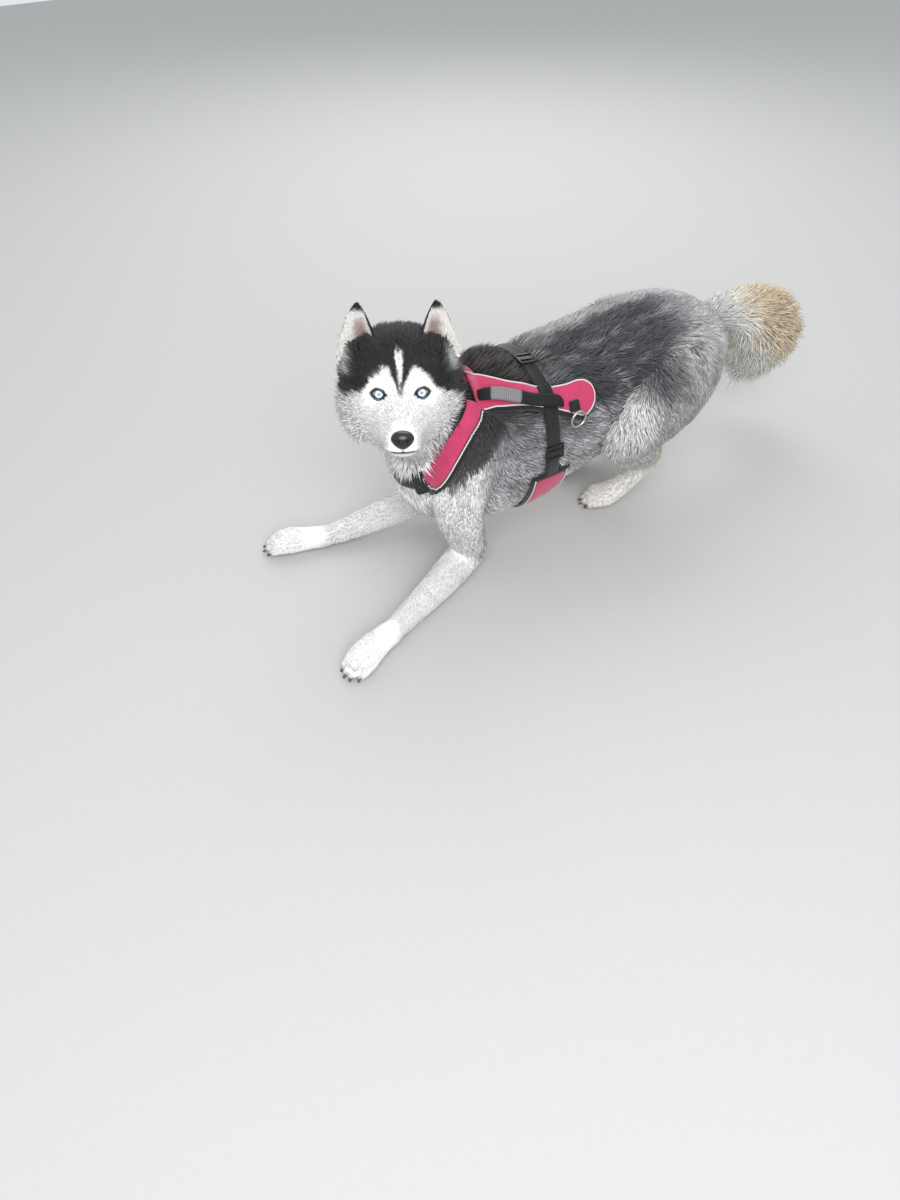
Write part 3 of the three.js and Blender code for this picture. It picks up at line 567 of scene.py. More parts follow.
def trunk_colours(points):
    """Pale below, silver on the flank and slate above, by height between belly and back."""
    x, y, z = points.T
    line = np.array(TORSO_LINE, float)
    top, bottom = (np.interp(x, line[:, 0], line[:, k]) for k in (1, 2))
    height = (z - bottom) / np.maximum(top - bottom, 30)
    wander = 0.09 * ripple(points, 46, 5) + 0.05 * ripple(points, 17, 6)
    h = height + wander
    colour = blend(paint(WHITE, len(points)), PALE, ease(0.05, 0.28, h))
    colour = blend(colour, SILVER, ease(0.25, 0.5, h))
    colour = blend(colour, GREY, 0.5 * ease(0.5, 0.68, h))
    low_edge = 0.66 - 0.26 * np.exp(-(((x - 285) / 48) ** 2))
    back = ease(0, 0.16, h - low_edge) * ease(96, 150, x) * (1 - 0.88 * ease(300, 395, x))
    colour = blend(colour, SADDLE, back)
    streak = ripple(points * (0.4, 1.0, 1.5), 24, 7)
    colour = blend(colour, PALE, 0.34 * ease(0.35, 1.1, streak))
    colour = blend(colour, SADDLE, 0.32 * ease(-0.4, -1.1, streak) * ease(0.35, 0.5, h))
    withers = ease(0.62, 0.84, h) * (1 - ease(70, 120, x)) * ease(246, 274, z)
    colour = blend(colour, SLATE, 0.9 * withers)
    colour = blend(colour, BROWN, 0.75 * ease(0.9, 1.02, h) * (1 - ease(95, 160, x)))
    # Painted highlight: a pale band high along the dog's right side of the back, where the light
    # falls on it; the left side has none.
    painted_rim_light = ease(-4, 24, y) * ease(0.8, 0.93, height) * ease(110, 160, x)
    colour = blend(colour, PALE, 0.75 * painted_rim_light)
    colour = blend(colour, PALE, 0.8 * ease(345, 440, x))
    chest = (1 - ease(0.42, 0.62, h)) * (1 - ease(-62, -20, x))
    chest = np.maximum(chest, ease(-60, -80, x) * ease(268, 246, z))
    chest = np.maximum(chest, shoulder_white(points))
    return ruff_shade(collar_shade(blend(colour, WHITE, chest), points), points)


def collar_shade(colour, points):
    """A slate band behind the shoulder strap that narrows down to the chest."""
    behind, turn = by_strap(points)
    behind = behind + 3 * ripple(points, 20, 19)
    wide = np.interp(turn, [58, 82, 101, 119, 133], [56, 55, 42, 27, 10])
    band = ease(6, 11, behind) * ease(wide + 6, wide - 6, behind) * ease(138, 122, turn)
    return blend(colour, SLATE * 1.7, 0.88 * band * ease(36, 50, turn))


def ruff_shade(colour, points):
    """Dark fur that hangs over the inner edge of the shoulder straps."""
    behind, turn = by_strap(points)
    fringe = np.exp(-(((behind + 18) / 10) ** 2)) * ease(48, 62, turn) * ease(130, 110, turn)
    return blend(colour, SLATE * 1.8, 0.88 * fringe)


def shoulder_white(points):
    """White low on the front of the chest and on the upper arms."""
    x = points[:, 0] + 7 * ripple(points, 24, 14)
    return ease(-4, -26, x) * ease(268, 240, points[:, 2])


def neck_colours(points, u):
    """White under the throat, grey on its sides, slate on the nape and brown along its top."""
    high = np.cos(2 * np.pi * u) + 0.12 * ripple(points, 30, 8)
    colour = blend(paint(WHITE, len(points)), GREY, ease(0.12, 0.42, high))
    colour = blend(colour, SLATE, ease(0.38, 0.66, high))
    return blend(ruff_shade(colour, points), BROWN, 0.7 * ease(0.8, 1.0, high))


def head_colours(points, ahead, out, up):
    """Cap, blaze, brow spots and cheeks. Seen is the height square to a look 18 degrees down."""
    seen = 0.95 * up - 0.31 * ahead
    wide = np.abs(out)
    wander = 2.2 * ripple(points, 22, 9) + 1.2 * ripple(points, 8, 10)
    edge_at = [0, 4, 8, 14, 20, 30, 40, 46, 52, 64, 80]
    edge = np.interp(wide, edge_at, [6, 10, 18, 31, 34, 31, 22, 12, 5, -1, -4])
    cap = ease(-4, 5, seen + wander - edge) * (1 - ease(20, 34, ahead))
    blaze_half = np.interp(seen, [10, 30, 52, 58], [1.6, 3.6, 5.4, 1.0])
    blaze = (1 - ease(-1.2, 1.6, wide - blaze_half)) * ease(8, 14, seen)
    cap = cap * (1 - blaze * (1 - ease(52, 62, seen)))
    colour = blend(paint(WHITE, len(points)), SLATE, cap)
    colour = blend(colour, BROWN, 0.55 * ease(56, 74, up) * cap)
    lines = np.exp(-(((wide - 1.6 - 0.26 * np.clip(seen, 0, 30)) / 1.5) ** 2))
    colour = blend(colour, SLATE, 0.75 * lines * ease(-8, 2, seen) * ease(26, 16, seen))
    colour = blend(colour, CREAM, 0.14 * np.exp(-(((ahead - 52) / 16) ** 2)) * (up > -28))
    ear_foot = ease(57, 65, wide) * ease(12, 26, up) * ease(-78, -62, ahead)
    colour = blend(colour, WHITE * 0.97, 0.9 * ear_foot)
    behind = 1 - ease(-70, -47, ahead + wander)
    side = ease(-84, -52, up) * ease(40, 54, wide)
    colour = blend(colour, SLATE, behind * np.maximum(ease(-52, -22, up), 0.9 * side))
    fringe = behind * (1 - ease(-52, -22, up)) * ease(-86, -60, up)
    colour = blend(colour, GREY, 0.55 * fringe)
    wisps = ease(0.2, 0.9, ripple(points, 13, 12)) * ease(62, 78, wide) * ease(-55, -10, -ahead)
    return blend(colour, BROWN * 1.5, 0.5 * wisps)


def leg_colours(name, points, u, v):
    """White forelegs and feet, a streaked silver haunch with painted shade in the crease in front
    of the thigh, and a paler shank.
    """
    count = len(points)
    if name == "upper_arm":
        front = ripple(points * (1, 1, 0.6), 22, 13)
        colour = blend(paint(SILVER, count), GREY, 0.35 * ease(0, 1, front))
        colour = blend(colour, WHITE, shoulder_white(points))
        return collar_shade(blend(colour, WHITE, ease(0.72, 0.95, v)), points)
    if name == "thigh":
        x, _, z = points.T
        streak = ripple(points * np.array([0.6, 1, 1.6]), 26, 15)
        colour = blend(paint(PALE * 0.96, count), GREY, 0.55 * ease(0.0, 1, streak))
        # Painted shade: saddle colour darkens the crease in front of the top of the thigh.
        shade = np.exp(-(((x - 306) / 34) ** 2)) * ease(250, 296, z)
        colour = blend(colour, SADDLE, 0.75 * shade)
        front = ease(0.1, 0.6, np.cos(2 * np.pi * u)) * ease(300, 262, x)
        colour = blend(colour, WHITE, 0.85 * front)
        colour = blend(colour, PALE * 1.05, ease(0.62, 0.9, v))
        return blend(colour, PALE, 0.5 * (1 - ease(0.02, 0.22, v)))
    if name == "shank":
        return blend(paint(PALE, count), CREAM * 1.03, ease(0.35, 0.95, v))
    cream = 0.10 * ease(0, 1, ripple(points, 30, 16))
    return blend(paint(WHITE, count), CREAM, cream + (0.22 if name == "hind_foot" else 0))


def tail_colours(points, u, v):
    """Cream and tan along the brush, and white beneath and at its root."""
    under = -np.cos(2 * np.pi * u) + 0.25 * ripple(points, 40, 17)
    colour = blend(paint(WHITE * 0.97, len(points)), CREAM, ease(0.15, 0.4, v))
    warm = ease(0.2, 0.42, v) * (0.5 + 0.3 * ripple(points, 34, 18))
    colour = blend(colour, TAN, warm * (1 - ease(0.75, 0.98, v)))
    return blend(colour, WHITE, 0.85 * ease(0.0, 0.7, under) + 0.4 * ease(0.85, 1, v))


def kind_of(name):
    """A limb's name without its side."""
    return name.rsplit("_", 1)[0] if name.endswith(("left", "right")) else name


ATLAS = {name: k for k, name in enumerate([*LIMBS, "head", "ear_left", "ear_right"])}


def atlas_place(name, u, v):
    """The place of u, v in the part's own cell of a four by five sheet."""
    k = ATLAS[name]
    cell = np.array([k % 4, k // 4]) * np.array([0.25, 0.2])
    return cell + np.stack([0.01 + 0.23 * u, 0.01 + 0.18 * v], -1)


def read_limbs(points, normals):
    """For places on the body's skin: the nearest limb, the lie of the coat, its looks, which
    are depth, length, width and density, its colour and its place on the unwrap."""
    names = list(LIMBS)
    found = [LIMBS[name].about(points) for name in names]
    far = np.array([f[0] + COATS[kind_of(n)][0] for n, f in zip(names, found)])
    nearest = far.argmin(0)
    share = np.exp(-(far - far.min(0)) / 7.0)
    share /= share.sum(0)
    count = len(points)
    looks = np.zeros((count, 4))
    lie, colour, place = np.zeros((count, 3)), np.zeros((count, 3)), np.zeros((count, 2))
    for k, (name, (_, u, v, along)) in enumerate(zip(names, found)):
        kind = kind_of(name)
        looks += share[k][:, None] * np.array(COATS[kind])
        if kind == "neck":
            under = share[k] * ease(0.1, -0.8, np.cos(2 * np.pi * u))
            looks[:, :2] += under[:, None] * (7, 16)
        if kind == "torso":
            down = 0.5 * ease(-0.2, 0.9, 1 - np.abs(normals[:, 2]))
            flow = np.stack([np.ones(count), np.zeros(count), -down], -1)
            tint = trunk_colours(points)
        elif kind == "neck":
            flow = -along + np.array([0.35, 0, -0.5])
            tint = neck_colours(points, u)
        elif kind == "tail":
            flow = along
            tint = tail_colours(points, u, v)
        else:
            flow = along + (0 if kind != "thigh" else np.array([1.1, 0, -0.9]))
            tint = leg_colours(kind, points, u, v)
        lie += share[k][:, None] * flow
        colour += share[k][:, None] * tint
        mine = nearest == k
        place[mine] = atlas_place(name, u[mine], v[mine])
        if kind == "tail":
            spread = np.maximum(BRUSH.size(v) - LIMBS["tail"].size(v), 8).mean(1)
            looks[mine, 0] = spread[mine]
            looks[mine, 1] *= 0.35 + 0.65 * ease(0.12, 0.4, v[mine])
    arms = [k for k, name in enumerate(names) if kind_of(name) == "upper_arm"]
    calm = 0.42 * shoulder_white(points) * share[arms].sum(0)
    looks[:, 0] *= 1 - calm
    looks[:, 1] *= 1 - 0.5 * calm
    return {"kind": nearest, "lie": lie, "looks": looks, "colour": colour, "place": place}


def read_head(points):
    """The same for the head: short on the muzzle, longer behind the cheek."""
    q = to_head(points)
    ahead, out, up = q.T
    _, u, v, _ = SKULL.about(q)
    cheek = ease(12, -42, ahead) * ease(34, 62, np.abs(out)) * ease(12, -24, up)
    throat = ease(10, -40, ahead) * ease(-34, -56, up)
    crown = ease(0, -60, ahead)
    long = np.clip(cheek + throat, 0, 1)
    top = ease(34, 58, up) * ease(-4, -34, ahead)
    length = 5.5 + 6 * crown + 40 * long + 12 * throat + 9 * top
    depth = 1.7 + 2.6 * crown + 15 * long + 6 * throat + 5 * top
    foot = ease(50, 61, np.abs(out)) * ease(-4, 14, up) * ease(-76, -56, ahead)
    length += 15 * foot
    depth += 8 * foot
    width = 1.05 + 0.5 * crown + 1.0 * long
    density = 0.40 - 0.13 * crown - 0.09 * long
    flow = unit(q - np.array([66, 0, -38])) + np.array([-0.25, 0, 0])
    flow += long[:, None] * np.stack([-0.3 + 0 * up, 0.22 * np.sign(out), -0.8 + 0 * up], -1)
    looks = np.stack([depth, length, width, density], -1)
    return {
        "lie": flow @ HEAD_AXES,
        "looks": looks,
        "colour": head_colours(points, ahead, out, up),
        "place": atlas_place("head", u, v),
    }


def eye_at(side):
    """The middle of an eyeball in the head's frame."""
    return EYE * np.array([1, side, 1])


def lid_axes(side):
    """The way that the lids face, outwards across them and up."""
    facing = unit(np.array(LID["facing"]) * (1, side, 1))
    across = unit(np.cross((0, 0, 1), facing)) * side
    return facing, across, unit(np.cross(facing, across) * side)


def between_lids(points, side, spread=1.0):
    """Whether head places lie in the opening between the lids, made wider by spread. It is
    the lens whose half height falls off as 1 - s^2 at s of the way to its corners."""
    facing, across, up = lid_axes(side)
    rel = points - eye_at(side)
    s = rel @ across / (LID["half"] * spread)
    room = np.maximum(LID["height"] * (1 - np.clip(s, -1, 1) ** 2), 0.4) * spread
    h = (rel @ up - s * LID["half"] * LID["tilt"]) / room
    return (np.abs(s) < 1) & (np.abs(h) < 1) & (rel @ facing > 0)


def above_mouth(ahead, up):
    """Height above the line where the lips meet."""
    return up - np.interp(ahead, *np.array(MOUTH).T)


# Tufts


def tufts(data, seed, clump, rings):
    """Closed flat tapered forms of three sides. From its root each goes along the lie and
    rises by depth times 1 - (1 - t)^1.6, with a sway to the side that grows with t squared.
    Tips in one cell of size clump lean together."""
    draw = np.random.default_rng(seed)
    root, normal, lie = data["root"], data["normal"], data["lie"]
    depth, length, width, _ = data["looks"].T
    count = len(root)
    lie = lie - (lie * normal).sum(1)[:, None] * normal
    side = unit(np.cross(normal, lie))
    turn = 0.30 * ripple(root, 60, seed + 1) + 0.16 * ripple(root, 21, seed + 2)
    turn += 0.16 * draw.normal(size=count)
    lie = unit(unit(lie) + np.tan(np.clip(turn, -0.9, 0.9))[:, None] * side)
    side = unit(np.cross(normal, lie))
    length = length * draw.uniform(0.7, 1.2, count)
    depth = depth * draw.uniform(0.6, 1.12, count)
    flat = np.sqrt(np.maximum(length**2 - depth**2, (0.5 * length) ** 2))
    tip = root + lie * flat[:, None] + normal * depth[:, None]
    cell = np.floor(tip / clump).astype(np.int64)
    _, which = np.unique(cell @ np.array([73856093, 19349663, 83492791]), return_inverse=True)
    total = np.bincount(which)
    middle = np.stack([np.bincount(which, tip[:, k]) / total for k in range(3)], -1)
    pull = (middle[which] - tip) * 0.34
    steps = np.array([0, 0.5]) if rings == 2 else np.array([0, 0.38, 0.74])
    breadth = np.array([0.75, 1.0]) if rings == 2 else np.array([0.7, 1.0, 0.72])
    sway = draw.normal(size=count) * 0.09 * length
    t = np.append(steps, 1.0)[None, :, None]
    rise = 1 - (1 - t) ** 1.6
    spine = root[:, None] - 0.8 * normal[:, None] * (1 - t)
    spine = spine + (lie * flat[:, None])[:, None] * t + (normal * depth[:, None])[:, None] * rise
    spine = spine + (side * sway[:, None])[:, None] * t**2 + pull[:, None] * t**2
    angle = np.pi / 2 + 2 * np.pi * np.arange(3) / 3
    wide = 0.5 * width[:, None, None, None] * breadth[None, :, None, None]
    ring = side[:, None, None] * np.cos(angle)[None, None, :, None]
    ring = ring + 0.36 * normal[:, None, None] * np.sin(angle)[None, None, :, None]
    rows = (spine[:, :rings, None] + wide * ring).reshape(count, rings * 3, 3)
    points = np.concatenate([rows, spine[:, -1:]], 1)
    each = rings * 3 + 1
    faces = [(0, 2, 1)]
    for r in range(rings - 1):
        for j in range(3):
            a, b = r * 3 + j, r * 3 + (j + 1) % 3
            faces += [(a, b, b + 3), (a, b + 3, a + 3)]
    faces += [((rings - 1) * 3 + j, (rings - 1) * 3 + (j + 1) % 3, each - 1) for j in range(3)]
    faces = np.array(faces)
    triangles = (faces[None] + each * np.arange(count)[:, None, None]).reshape(-1, 3)
    # Painted shading: each tuft is darker at its root, as the shade down in the coat, and a little
    # lighter at its tip, as the light on it.
    shade = np.repeat(np.append(np.linspace(0.90, 0.99, rings), 1.04), [3] * rings + [1])
    own = 1 + 0.06 * draw.normal(size=(count, 1, 1))
    colour = np.clip(data["colour"][:, None] * shade[None, :, None] * own, 0.01, 0.985)
    along = np.repeat(np.append(steps, 1.0), [3] * rings + [1])
    across = np.append(np.tile([0, -1, 1], rings), 0)
    bake = data["place"][:, None] + 0.0015 * np.stack([across, 2 * along - 1], -1)[None]
    points = points.reshape(-1, 3)
    points[:, 2] = np.maximum(points[:, 2], 0.3)
    return outwards(points, triangles), colour.reshape(-1, 3), bake.reshape(-1, 2)


def scatter(points, faces, read, share, seed):
    """Roots spread over a skin by area and density, each with what its triangle has."""
    draw = np.random.default_rng(seed)
    a, b, c = corners(points, faces)
    cross = np.cross(b - a, c - a)
    want = np.linalg.norm(cross, axis=1) / 2 * read["looks"][:, 3] * share
    count = np.floor(want + draw.uniform(size=len(want))).astype(int)
    chosen = np.repeat(np.arange(len(faces)), count)
    r, s = np.sqrt(draw.uniform(size=len(chosen))), draw.uniform(size=len(chosen))
    root = (1 - r)[:, None] * a[chosen] + (r * (1 - s))[:, None] * b[chosen]
    root = root + (r * s)[:, None] * c[chosen]
    data = {key: value[chosen] for key, value in read.items()}
    return {**data, "root": root, "normal": unit(cross)[chosen]}


def only(data, mask):
    """The rows of every array that the mask holds."""
    return {key: value[mask] for key, value in data.items()}


def joined(parts):
    """The rows of several such sets of arrays, one after another."""
    return {key: np.concatenate([part[key] for part in parts]) for key in parts[0]}


# Finishes


class Socket:
    """A shader value that adds Math nodes when it is reckoned with."""

    def __init__(self, finish, source):
        self.finish, self.source = finish, source

    def maths(self, operation, first, second=0.0):
        return self.finish.add("ShaderNodeMath", {0: first, 1: second}, operation=operation)[0]

    def sine(self):
        return self.maths("SINE", self)

    def __add__(self, other):
        return self.maths("ADD", self, other)

    def __mul__(self, other):
        return self.maths("MULTIPLY", self, other)

    __radd__ = __add__
    __rmul__ = __mul__


class Finish:
    """A node-based material round one Principled shader, whose fixed values are set on it."""

    def __init__(self, name, **fixed):
        self.material = bpy.data.materials.new(name)
        self.material.use_nodes = True
        self.tree = self.material.node_tree
        self.shader = self.tree.nodes["Principled BSDF"]
        for key, value in fixed.items():
            self.shader.inputs[key.replace("_", " ")].default_value = value

    def add(self, kind, inputs=None, stops=(), **settings):
        """A node of a type with its settings, and the values or links of its sockets."""
        node = self.tree.nodes.new(kind)
        for key, value in settings.items():
            setattr(node, key, value)
        for k, (place, colour) in enumerate(stops):
            ramp = node.color_ramp.elements
            stop = ramp[k] if k < 2 else ramp.new(place)
            stop.position, stop.color = place, (*colour, 1)
        for key, value in (inputs or {}).items():
            if isinstance(value, Socket):
                self.tree.links.new(value.source, node.inputs[key])
            else:
                node.inputs[key].default_value = value
        return [Socket(self, output) for output in node.outputs]

    def mix(self, factor, first, second):
        held = {0: factor, 6: first, 7: second}
        return self.add("ShaderNodeMix", held, data_type="RGBA")[2]

    def noise(self, scale, detail=2.0, vector=None):
        where = vector or self.add("ShaderNodeTexCoord")[3]
        held = {"Vector": where, "Scale": scale, "Detail": detail}
        return self.add("ShaderNodeTexNoise", held)[0]

    def bump(self, height, distance, strength=0.6):
        held = {"Strength": strength, "Distance": distance, "Height": height}
        self.feed("Normal", self.add("ShaderNodeBump", held)[0])

    def feed(self, name, value):
        self.tree.links.new(value.source, self.shader.inputs[name])

    def map(self, name):
        """The places of one of the piece's own maps, and the two numbers of each."""
        where = self.add("ShaderNodeUVMap", uv_map=name)[0]
        return where, *self.add("ShaderNodeSeparateXYZ", {0: where})[:2]

    def shaded(self, colour, value):
        return self.add("ShaderNodeHueSaturation", {"Color": colour, "Value": value})[0]

    def ramp(self, factor, stops):
        return self.add("ShaderNodeValToRGB", {0: factor}, stops)[0]


def screen(colour):
    """A screen colour as light, with full alpha."""
    return (*as_light(np.array(colour, float)), 1.0)


def coat_finish(name, hair, roughness):
    """Painted coat whose shade wanders a little, with fine hair as bump."""
    made = Finish(name, Specular_IOR_Level=0.22, Sheen_Weight=0.12)
    painted = made.add("ShaderNodeAttribute", attribute_name="coat")[0]
    wander = made.noise(hair, 3.0)
    made.feed("Base Color", made.mix(wander, made.shaded(painted, 0.93), painted))
    made.feed("Roughness", wander * 0.2 + roughness)
    made.bump(made.noise(hair * 3, 2.0), 0.0004)
    return made.material


def rough_finish(name, colour, roughness, scale, distance, **fixed):
    """A plain colour mottled by noise at scale, with the same noise as bump."""
    made = Finish(name, **fixed)
    grain = made.noise(scale, 3.0)
    made.feed("Base Color", made.mix(grain, screen(np.array(colour) * 0.82), screen(colour)))
    made.feed("Roughness", grain * 0.14 + roughness)
    made.bump(grain, distance)
    return made.material


def woven_finish(name, colour, pitch):
    """Cloth of over and under threads at pitch, read from the piece's map in metres, with painted
    shade where the threads pass under.
    """
    made = Finish(name, Specular_IOR_Level=0.3, Sheen_Weight=0.25)
    _, u, v = made.map("cloth")
    across, along = ((place * (2 * np.pi / pitch)).sine() for place in (u, v))
    weave = across * along * 0.5 + 0.5
    wear = made.noise(60.0, 4.0)
    # Painted shade: the threads are darker where the weave dips under, where the bump is low.
    painted_weave_shade = made.mix(weave, screen(np.array(colour) * 0.62), screen(colour))
    faded = screen(np.clip(np.array(colour) * 1.12 + 0.03, 0, 1))
    made.feed("Base Color", made.mix(wear * 0.45, painted_weave_shade, faded))
    made.feed("Roughness", wear * 0.12 + 0.78)
    made.bump(weave, 0.0003)
    return made.material


def eye_finish():
    """Pupil, streaked pale iris, dark ring and white, by the share of the turn from the gaze."""
    made = Finish("wet_eye", Coat_Weight=1.0, Coat_Roughness=0.02, Specular_IOR_Level=0.6)
    where, _, v = made.map("gaze")
    stretched = made.add("ShaderNodeMapping", {"Vector": where, "Scale": (46, 3, 1)})[0]
    streak = made.noise(1.0, 3.0, stretched)
    stops = [
        (0.0, (0.004, 0.004, 0.005)), (0.045, (0.006, 0.007, 0.010)),
        (0.057, (0.26, 0.38, 0.55)), (0.11, (0.60, 0.71, 0.87)),
        (0.158, (0.42, 0.56, 0.78)), (0.18, (0.02, 0.03, 0.055)),
        (0.215, (0.30, 0.27, 0.25)),
    ]
    iris = made.ramp(v, stops)
    made.feed("Base Color", made.mix(streak, iris, made.shaded(iris, 1.35)))
    made.feed("Roughness", streak * 0.05 + 0.05)
    return made.material


# Harness shapes

COVERED = ("torso", "neck", "upper_arm_left", "upper_arm_right")


def coat_far(points):
    """How far places are out of the coat that the harness lies on."""
    return np.min([LIMBS[name].about(points)[0] for name in COVERED], axis=0)


def onto_coat(start, way, reach, steps=30):
    """Where lines that come in from start first meet the coat: even steps, then ten halvings."""
    flat, ways = start.reshape(-1, 3), way.reshape(-1, 3)
    t = np.linspace(0, reach, steps)
    line = flat[:, None] + ways[:, None] * t[None, :, None]
    far = coat_far(line.reshape(-1, 3)).reshape(len(flat), steps)
    first = np.where((far < 0).any(1), (far < 0).argmax(1), far.argmin(1))
    high, low = t[first], t[np.maximum(first - 1, 0)]
    for _ in range(10):
        middle = (low + high) / 2
        inside = coat_far(flat + ways * middle[:, None]) < 0
        high, low = np.where(inside, middle, high), np.where(inside, low, middle)
    return (flat + ways * high[:, None]).reshape(start.shape)


class Ring:
    """A plane through the dog in which a strap runs round. Turn 0 is up and a quarter is left."""

    def __init__(self, middle, normal, upwards, led=False):
        self.led = led
        self.middle, self.normal = np.array(middle, float), unit(np.array(normal, float))
        self.up = unit(np.array(upwards, float))

    def ways(self, turns, count):
        """The ways out from the middle at each turn, once for each of count lines."""
        left = np.array([0.0, -1.0, 0.0])
        way = self.up * np.cos(turns)[:, None] + left * np.sin(turns)[:, None]
        return np.broadcast_to(way[:, None], (len(turns), count, 3))

    def on_coat(self, way, across):
        """Where the coat is met from outside, at distances square to the ring."""
        return onto_coat(self.middle + way * 220 + self.normal * across, -way, 214)

    def lanes(self, turns, distances):
        """Lines that run beside the ring at distances measured along the coat. The distance
        per step across is read beside the ring at each turn, evened along it, and divided out.
        Shoulder straps lie forward by their lead, and sink into the mane over the neck."""
        probe = self.on_coat(self.ways(turns, 3), np.array([-12.0, 0.0, 12.0])[None, :, None])
        stretch = np.linalg.norm(np.diff(probe, axis=1), axis=2).sum(1) / 24
        held = np.pad(np.clip(stretch, 1, 2.2), 4, mode="edge")
        stretch = np.convolve(held, np.ones(9) / 9, "valid")
        way = self.ways(turns, len(distances))
        down = np.degrees(np.arccos(np.cos(turns)))
        lead = strap_lead(down) * self.led
        across = ((np.asarray(distances)[None] - lead[:, None]) / stretch[:, None])[..., None]
        laid = self.on_coat(way, across)
        sink = 6.0 * ease(52, 36, down) * self.led
        return laid - way * sink[:, None, None], way


NECK_RING = Ring(NECK_RING_MIDDLE, NECK_RING_NORMAL, NECK_RING_UP, led=True)
GIRTH_RING = Ring((GIRTH_X, 0, 206), (1, 0, 0), (0, 0, 1))


def between(places, way, lift, base, flat, axis=1):
    """The closed form from places raised by lift, back under them at base, and its map, which
    is flat in metres."""
    upper, lower = places + way * lift[..., None], places + way * (base - UNDERLAP)
    rows = np.concatenate([upper, np.flip(lower, axis)], axis)
    uv = np.concatenate([flat, np.flip(flat, axis)], axis).reshape(-1, 2) / 1000
    return tube(rows), np.vstack([uv, uv[:1], uv[-1:]])


def strap(ring, turns, width, thick, crown, base=GAP, offset=0.0):
    """A band laid on the coat from one turn to another, given in degrees. Its section is
    flat under and crowned above by 1 - |w|^crown, and it is swept along the ring, as
    wide as it says all the way."""
    w = np.array([-1, -0.985, -0.93, -0.8, -0.5, -0.2, 0.2, 0.5, 0.8, 0.93, 0.985, 1])
    angles = np.radians(np.linspace(*turns, STRAP_STEPS))
    top, way = ring.lanes(angles, offset + w * width / 2)
    lift = base + thick * np.maximum(1 - np.abs(w) ** crown, 0.06) ** 0.5
    steps = np.arange(STRAP_STEPS)
    close = ease(0, 2.2, np.minimum(steps, steps[::-1]) + 0.6)
    lift = base + (lift - base)[None] * close[:, None]
    run = np.append(0, np.cumsum(np.linalg.norm(np.diff(top[:, 6], axis=0), axis=1)))
    flat = np.stack(np.broadcast_arrays(run[:, None], (w * width / 2)[None]), -1)
    return between(top, way, lift, base, flat), run[-1]


def edge_wire(ring, turns, offset, lift):
    """Piping beside a ring, raised by lift off the coat."""
    path, way = ring.lanes(np.radians(np.linspace(*turns, STRAP_STEPS)), [offset])
    return wire((path + way * lift)[:, 0], PIPING)


PANEL_MIDDLE = np.array([95.0, -84.0, 304.0])
PANEL_AXES = np.array([[1, 0, 0], [0, 0.766, 0.643], [0, -0.643, 0.766]])
PANEL_TOP = [
    (-100, 80), (-81, 73), (-62, 56), (-42, 40), (-10, 26), (20, 16), (44, 12), (64, 13),
    (79, 9), (90, -2), (94, -17),
]
PANEL_LOW = [
    (-104, 19), (-92, 11), (-74, 3), (-50, -4), (-20, -13), (8, -22), (36, -36), (64, -47),
    (79, -43), (90, -32), (94, -17),
]


def in_panel(points):
    """Whether places lie under the pad's outline, a little enlarged, by how often a line to
    one side crosses it."""
    local = (points - PANEL_MIDDLE) @ PANEL_AXES.T
    edge = np.array(PANEL_TOP + PANEL_LOW[::-1]) * 1.03
    a, b = edge, np.roll(edge, -1, 0)
    x, y = local[:, 0][:, None], local[:, 1][:, None]
    over = (a[None, :, 1] > y) != (b[None, :, 1] > y)
    rise = np.where(b[:, 1] == a[:, 1], 1e-6, b[:, 1] - a[:, 1])
    cut = a[None, :, 0] + (y - a[None, :, 1]) / rise * (b[:, 0] - a[:, 0])
    return ((over & (x < cut)).sum(1) % 2 == 1) & (local[:, 2] > -70)


def panel_places(w, above, below, count=130):
    """Rows across the pad from its front to its round end: w runs from -1 at the lower edge
    to 1 at the upper, after the edges are moved in square to themselves by above and below."""
    t = (1 - np.cos(np.linspace(0.05, 1, count) * np.pi)) / 2
    edges = []
    for held, side, inset in ((PANEL_TOP, 1, above), (PANEL_LOW, -1, below)):
        edge = smooth_curve(held, t)
        step = np.gradient(edge, axis=0)
        inward = unit(np.stack([step[:, 1], -step[:, 0]], -1) * side)
        even = ease(20, 74, edge[:, 0])
        inset = inset * (1 - even) + (above + below) / 2 * even
        inset = inset * (1 if side > 0 else ease(-100, -78, edge[:, 0]))
        edges.append(edge + inward * np.reshape(inset, (-1, 1)))
    top, low = edges
    held = (top - low)[:, 1] > 0.6
    top, low = top[held][:, None], low[held][:, None]
    flat = (top + low) / 2 + np.asarray(w, float)[None, :, None] * (top - low) / 2
    start = PANEL_MIDDLE + flat @ PANEL_AXES[:2] + 70 * PANEL_AXES[2]
    way = np.broadcast_to(-PANEL_AXES[2], start.shape)
    return onto_coat(start, way, 150, 50), flat, np.linalg.norm(top - low, axis=2)[:, 0]


def panel_pad(above, below, thick, base, crown=7):
    """A pad whose height is thick times (1 - |w|^crown)^0.5 across, rounded off at its ends."""
    w = np.array([-1, -0.985, -0.93, -0.8, -0.55, -0.28, 0, 0.28, 0.55, 0.8, 0.93, 0.985, 1])
    places, flat, wide = panel_places(w, above, below)
    full = np.clip(wide / 16, 0.03, 1) ** 0.5 * ease(-1, 4, np.arange(len(wide)))
    lift = base + thick * np.maximum(1 - np.abs(w) ** crown, 0.05) ** 0.5 * full[:, None]
    return between(places, PANEL_AXES[2], lift, base, flat)


